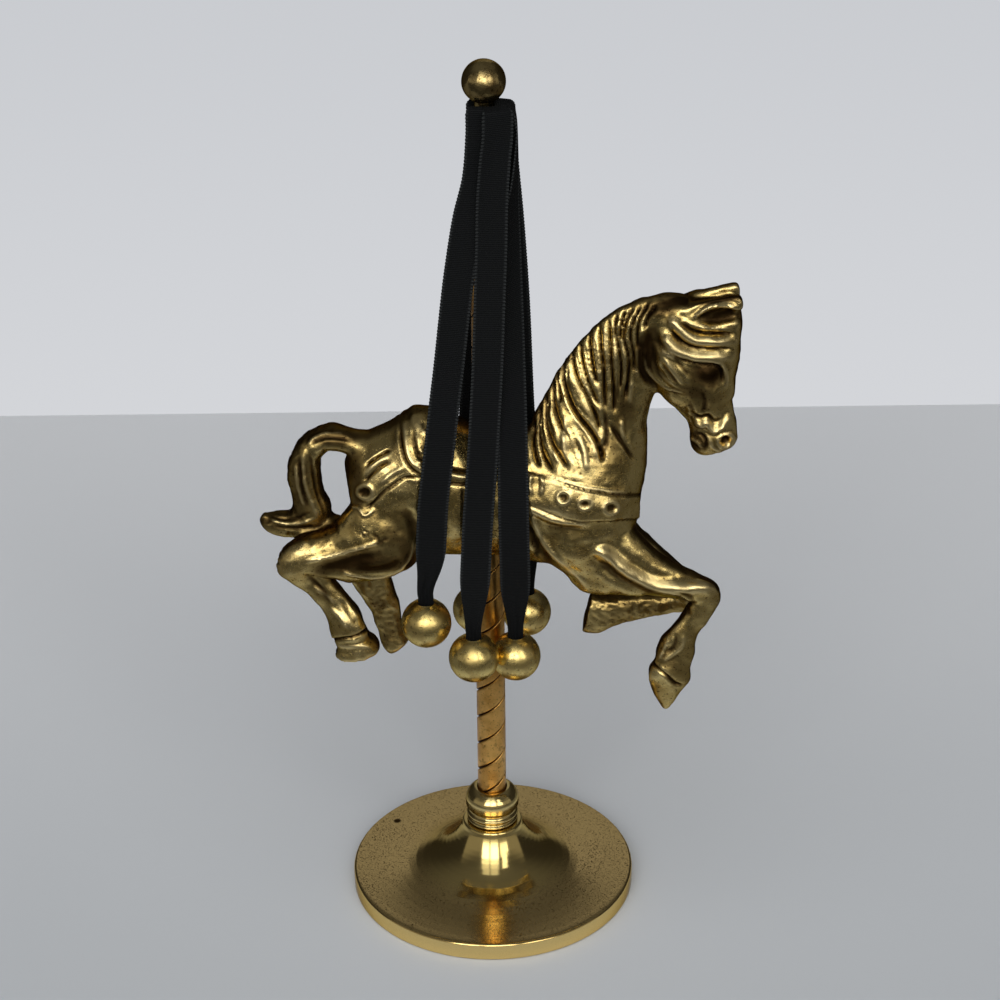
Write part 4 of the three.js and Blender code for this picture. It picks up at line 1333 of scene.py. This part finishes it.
def ribbonFinish():
    finish, start, shader = newFinish("blackGrosgrain", {"Specular IOR Level": 0.12})
    across = start.mark("across")
    along = start.mark("along")
    place = start.place()
    cords = start.math("SINE", along * (2 * math.pi / ribbons["cordPitch"])) * 0.5 + 0.5
    thread = start.math("SINE", across * (2 * math.pi / ribbons["threadPitch"]) + cords * 1.2) * 0.5 + 0.5
    edge = start.math("ABSOLUTE", across).rise(0.40 * ribbons["width"], 0.47 * ribbons["width"])
    lint = start.noise(place, 900.0, 3.0)
    loops = start.math("SINE", along * (2 * math.pi / ribbons["loopPitch"])) * 0.5 + 0.5
    rib = (cords * 0.7 + thread * 0.3) * 0.8
    tone = start.mix(rib, rgb(0.0028, 0.0032, 0.0038), rgb(0.0095, 0.0105, 0.0118))
    tone = start.mix(edge * loops * 0.8, tone, rgb(0.032, 0.035, 0.037))
    tone = start.mix(lint.rise(0.62, 0.8) * 0.3, tone, rgb(0.013, 0.014, 0.016))
    rough = (0.7 + lint * 0.25).limited()
    weave = start.bump(cords + thread * 0.25, 0.14 * mm, 0.8)
    plug(start, shader, {"Base Color": tone, "Roughness": rough, "Normal": weave})
    return finish


def makeRibbon(letter, finish):
    stations = np.array(ribbons[letter], float)
    low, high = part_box("ball_" + letter)
    holeLip = low.z / mm + ball["radius"] + math.sqrt(ball["radius"] ** 2 - ball["hole"] ** 2)
    ballX, ballY = ((low + high) / 2 / mm)[:2]
    facing = stations[-1, 3]
    way = np.radians(stations[0, 3])
    inward = -np.array([math.cos(way), math.sin(way)])
    x, y, z, turn = stations[0]
    over = []
    reach = -(x * inward[0] + y * inward[1]) - ribbons["foldRadius"]
    drop = ribbons["foldHeight"] - z
    for share, under in ((1.0, 0.5), (0.75, 0.05), (0.35, 0.25 * drop), (0.06, 0.7 * drop)):
        push = reach * share
        over.append((x + inward[0] * push, y + inward[1] * push, ribbons["foldHeight"] - under, turn))
    feet = [
        (ballX, ballY, holeLip + 5, facing), (ballX, ballY, holeLip + 1, facing),
        (ballX, ballY, holeLip - ribbons["tuck"], facing),
    ]
    path = smoothRows(np.vstack([over, stations[:1] - (0, 0, 1.2, 0), stations[1:], feet]), 40)
    steps = np.linalg.norm(np.diff(path[:, :3], axis=0), axis=1)
    run = np.concatenate([[0], np.cumsum(steps)])
    length = run[-1]
    at = np.linspace(0, length, int(length / ribbons["row"]))
    path = np.stack([np.interp(at, run, path[:, k]) for k in range(4)], 1)
    left = length - at - ribbons["tuck"]
    share = stepUp(left, 0.5, ribbons["gather"])
    wide = ribbons["narrow"] + (ribbons["width"] - ribbons["narrow"]) * share
    wide = wide - (ribbons["width"] - ribbons["foldWide"]) * (1 - stepUp(at, 0, reach + 1.5))
    wide = wide + ribbons["loop"] * 2 * np.abs(np.sin(math.pi * at / ribbons["loopPitch"])) * share
    turn = np.radians(path[:, 3])
    side = np.stack([-np.sin(turn), np.cos(turn), 0 * turn], 1)
    ahead = np.gradient(path[:, :3], axis=0)
    ahead /= np.linalg.norm(ahead, axis=1, keepdims=True)
    outer = np.cross(side, ahead)
    outer /= np.linalg.norm(outer, axis=1, keepdims=True)
    columns = np.linspace(-1, 1, ribbons["columns"])
    bow = ribbons["bow"] * (1 - columns**2)[None, :] * np.minimum(share, stepUp(at, 4, 20))[:, None]
    pucker = (1 - share)[:, None] * ribbons["pucker"] * np.cos(columns * 2.2 * math.pi)[None, :]
    wave = ribbons["wave"] * np.sin(at / ribbons["waveLength"] + 2 * ord(letter))[:, None] * columns[None, :]
    lift = (bow + pucker + wave)[..., None] * outer[:, None, :]
    middle = path[:, None, :3] + side[:, None, :] * (columns[None, :, None] * wide[:, None, None] / 2) + lift
    half = ribbons["thick"] / 2 * outer[:, None, :]
    sheets = [middle + half, middle - half]
    points = np.concatenate([sheet.reshape(-1, 3) for sheet in sheets])
    rows, across = middle.shape[:2]
    number = np.arange(rows * across).reshape(rows, across)
    back = number + rows * across
    faces = [quads(number), quads(back)[:, ::-1]]
    border = np.concatenate([number[0], number[1:, -1], number[-1, -2::-1], number[-2:0:-1, 0]])
    behind = border + rows * across
    after = np.roll(border, -1)
    faces.append(np.stack([after, border, behind, np.roll(behind, -1)], 1))
    acrossMark = np.tile((columns[None, :] * wide[:, None] / 2).ravel(), 2)
    alongMark = np.tile(np.repeat(at, across), 2)
    marks = {"across": acrossMark, "along": alongMark}
    made = asMesh("ribbon" + letter.upper(), points, np.vstack(faces), finish, marks)
    settle(made, "ribbon_" + letter)


makeCamera()
makeRoom()
makeFloor()
print("room ready")
makeBase()
makeCollar()
makePole()
makeBalls()
makeFinial()
print("brass stand ready")
grosgrain = ribbonFinish()
for letter in "abcde":
    makeRibbon(letter, grosgrain)
print("ribbons ready")
makeHorse()
print("horse ready")
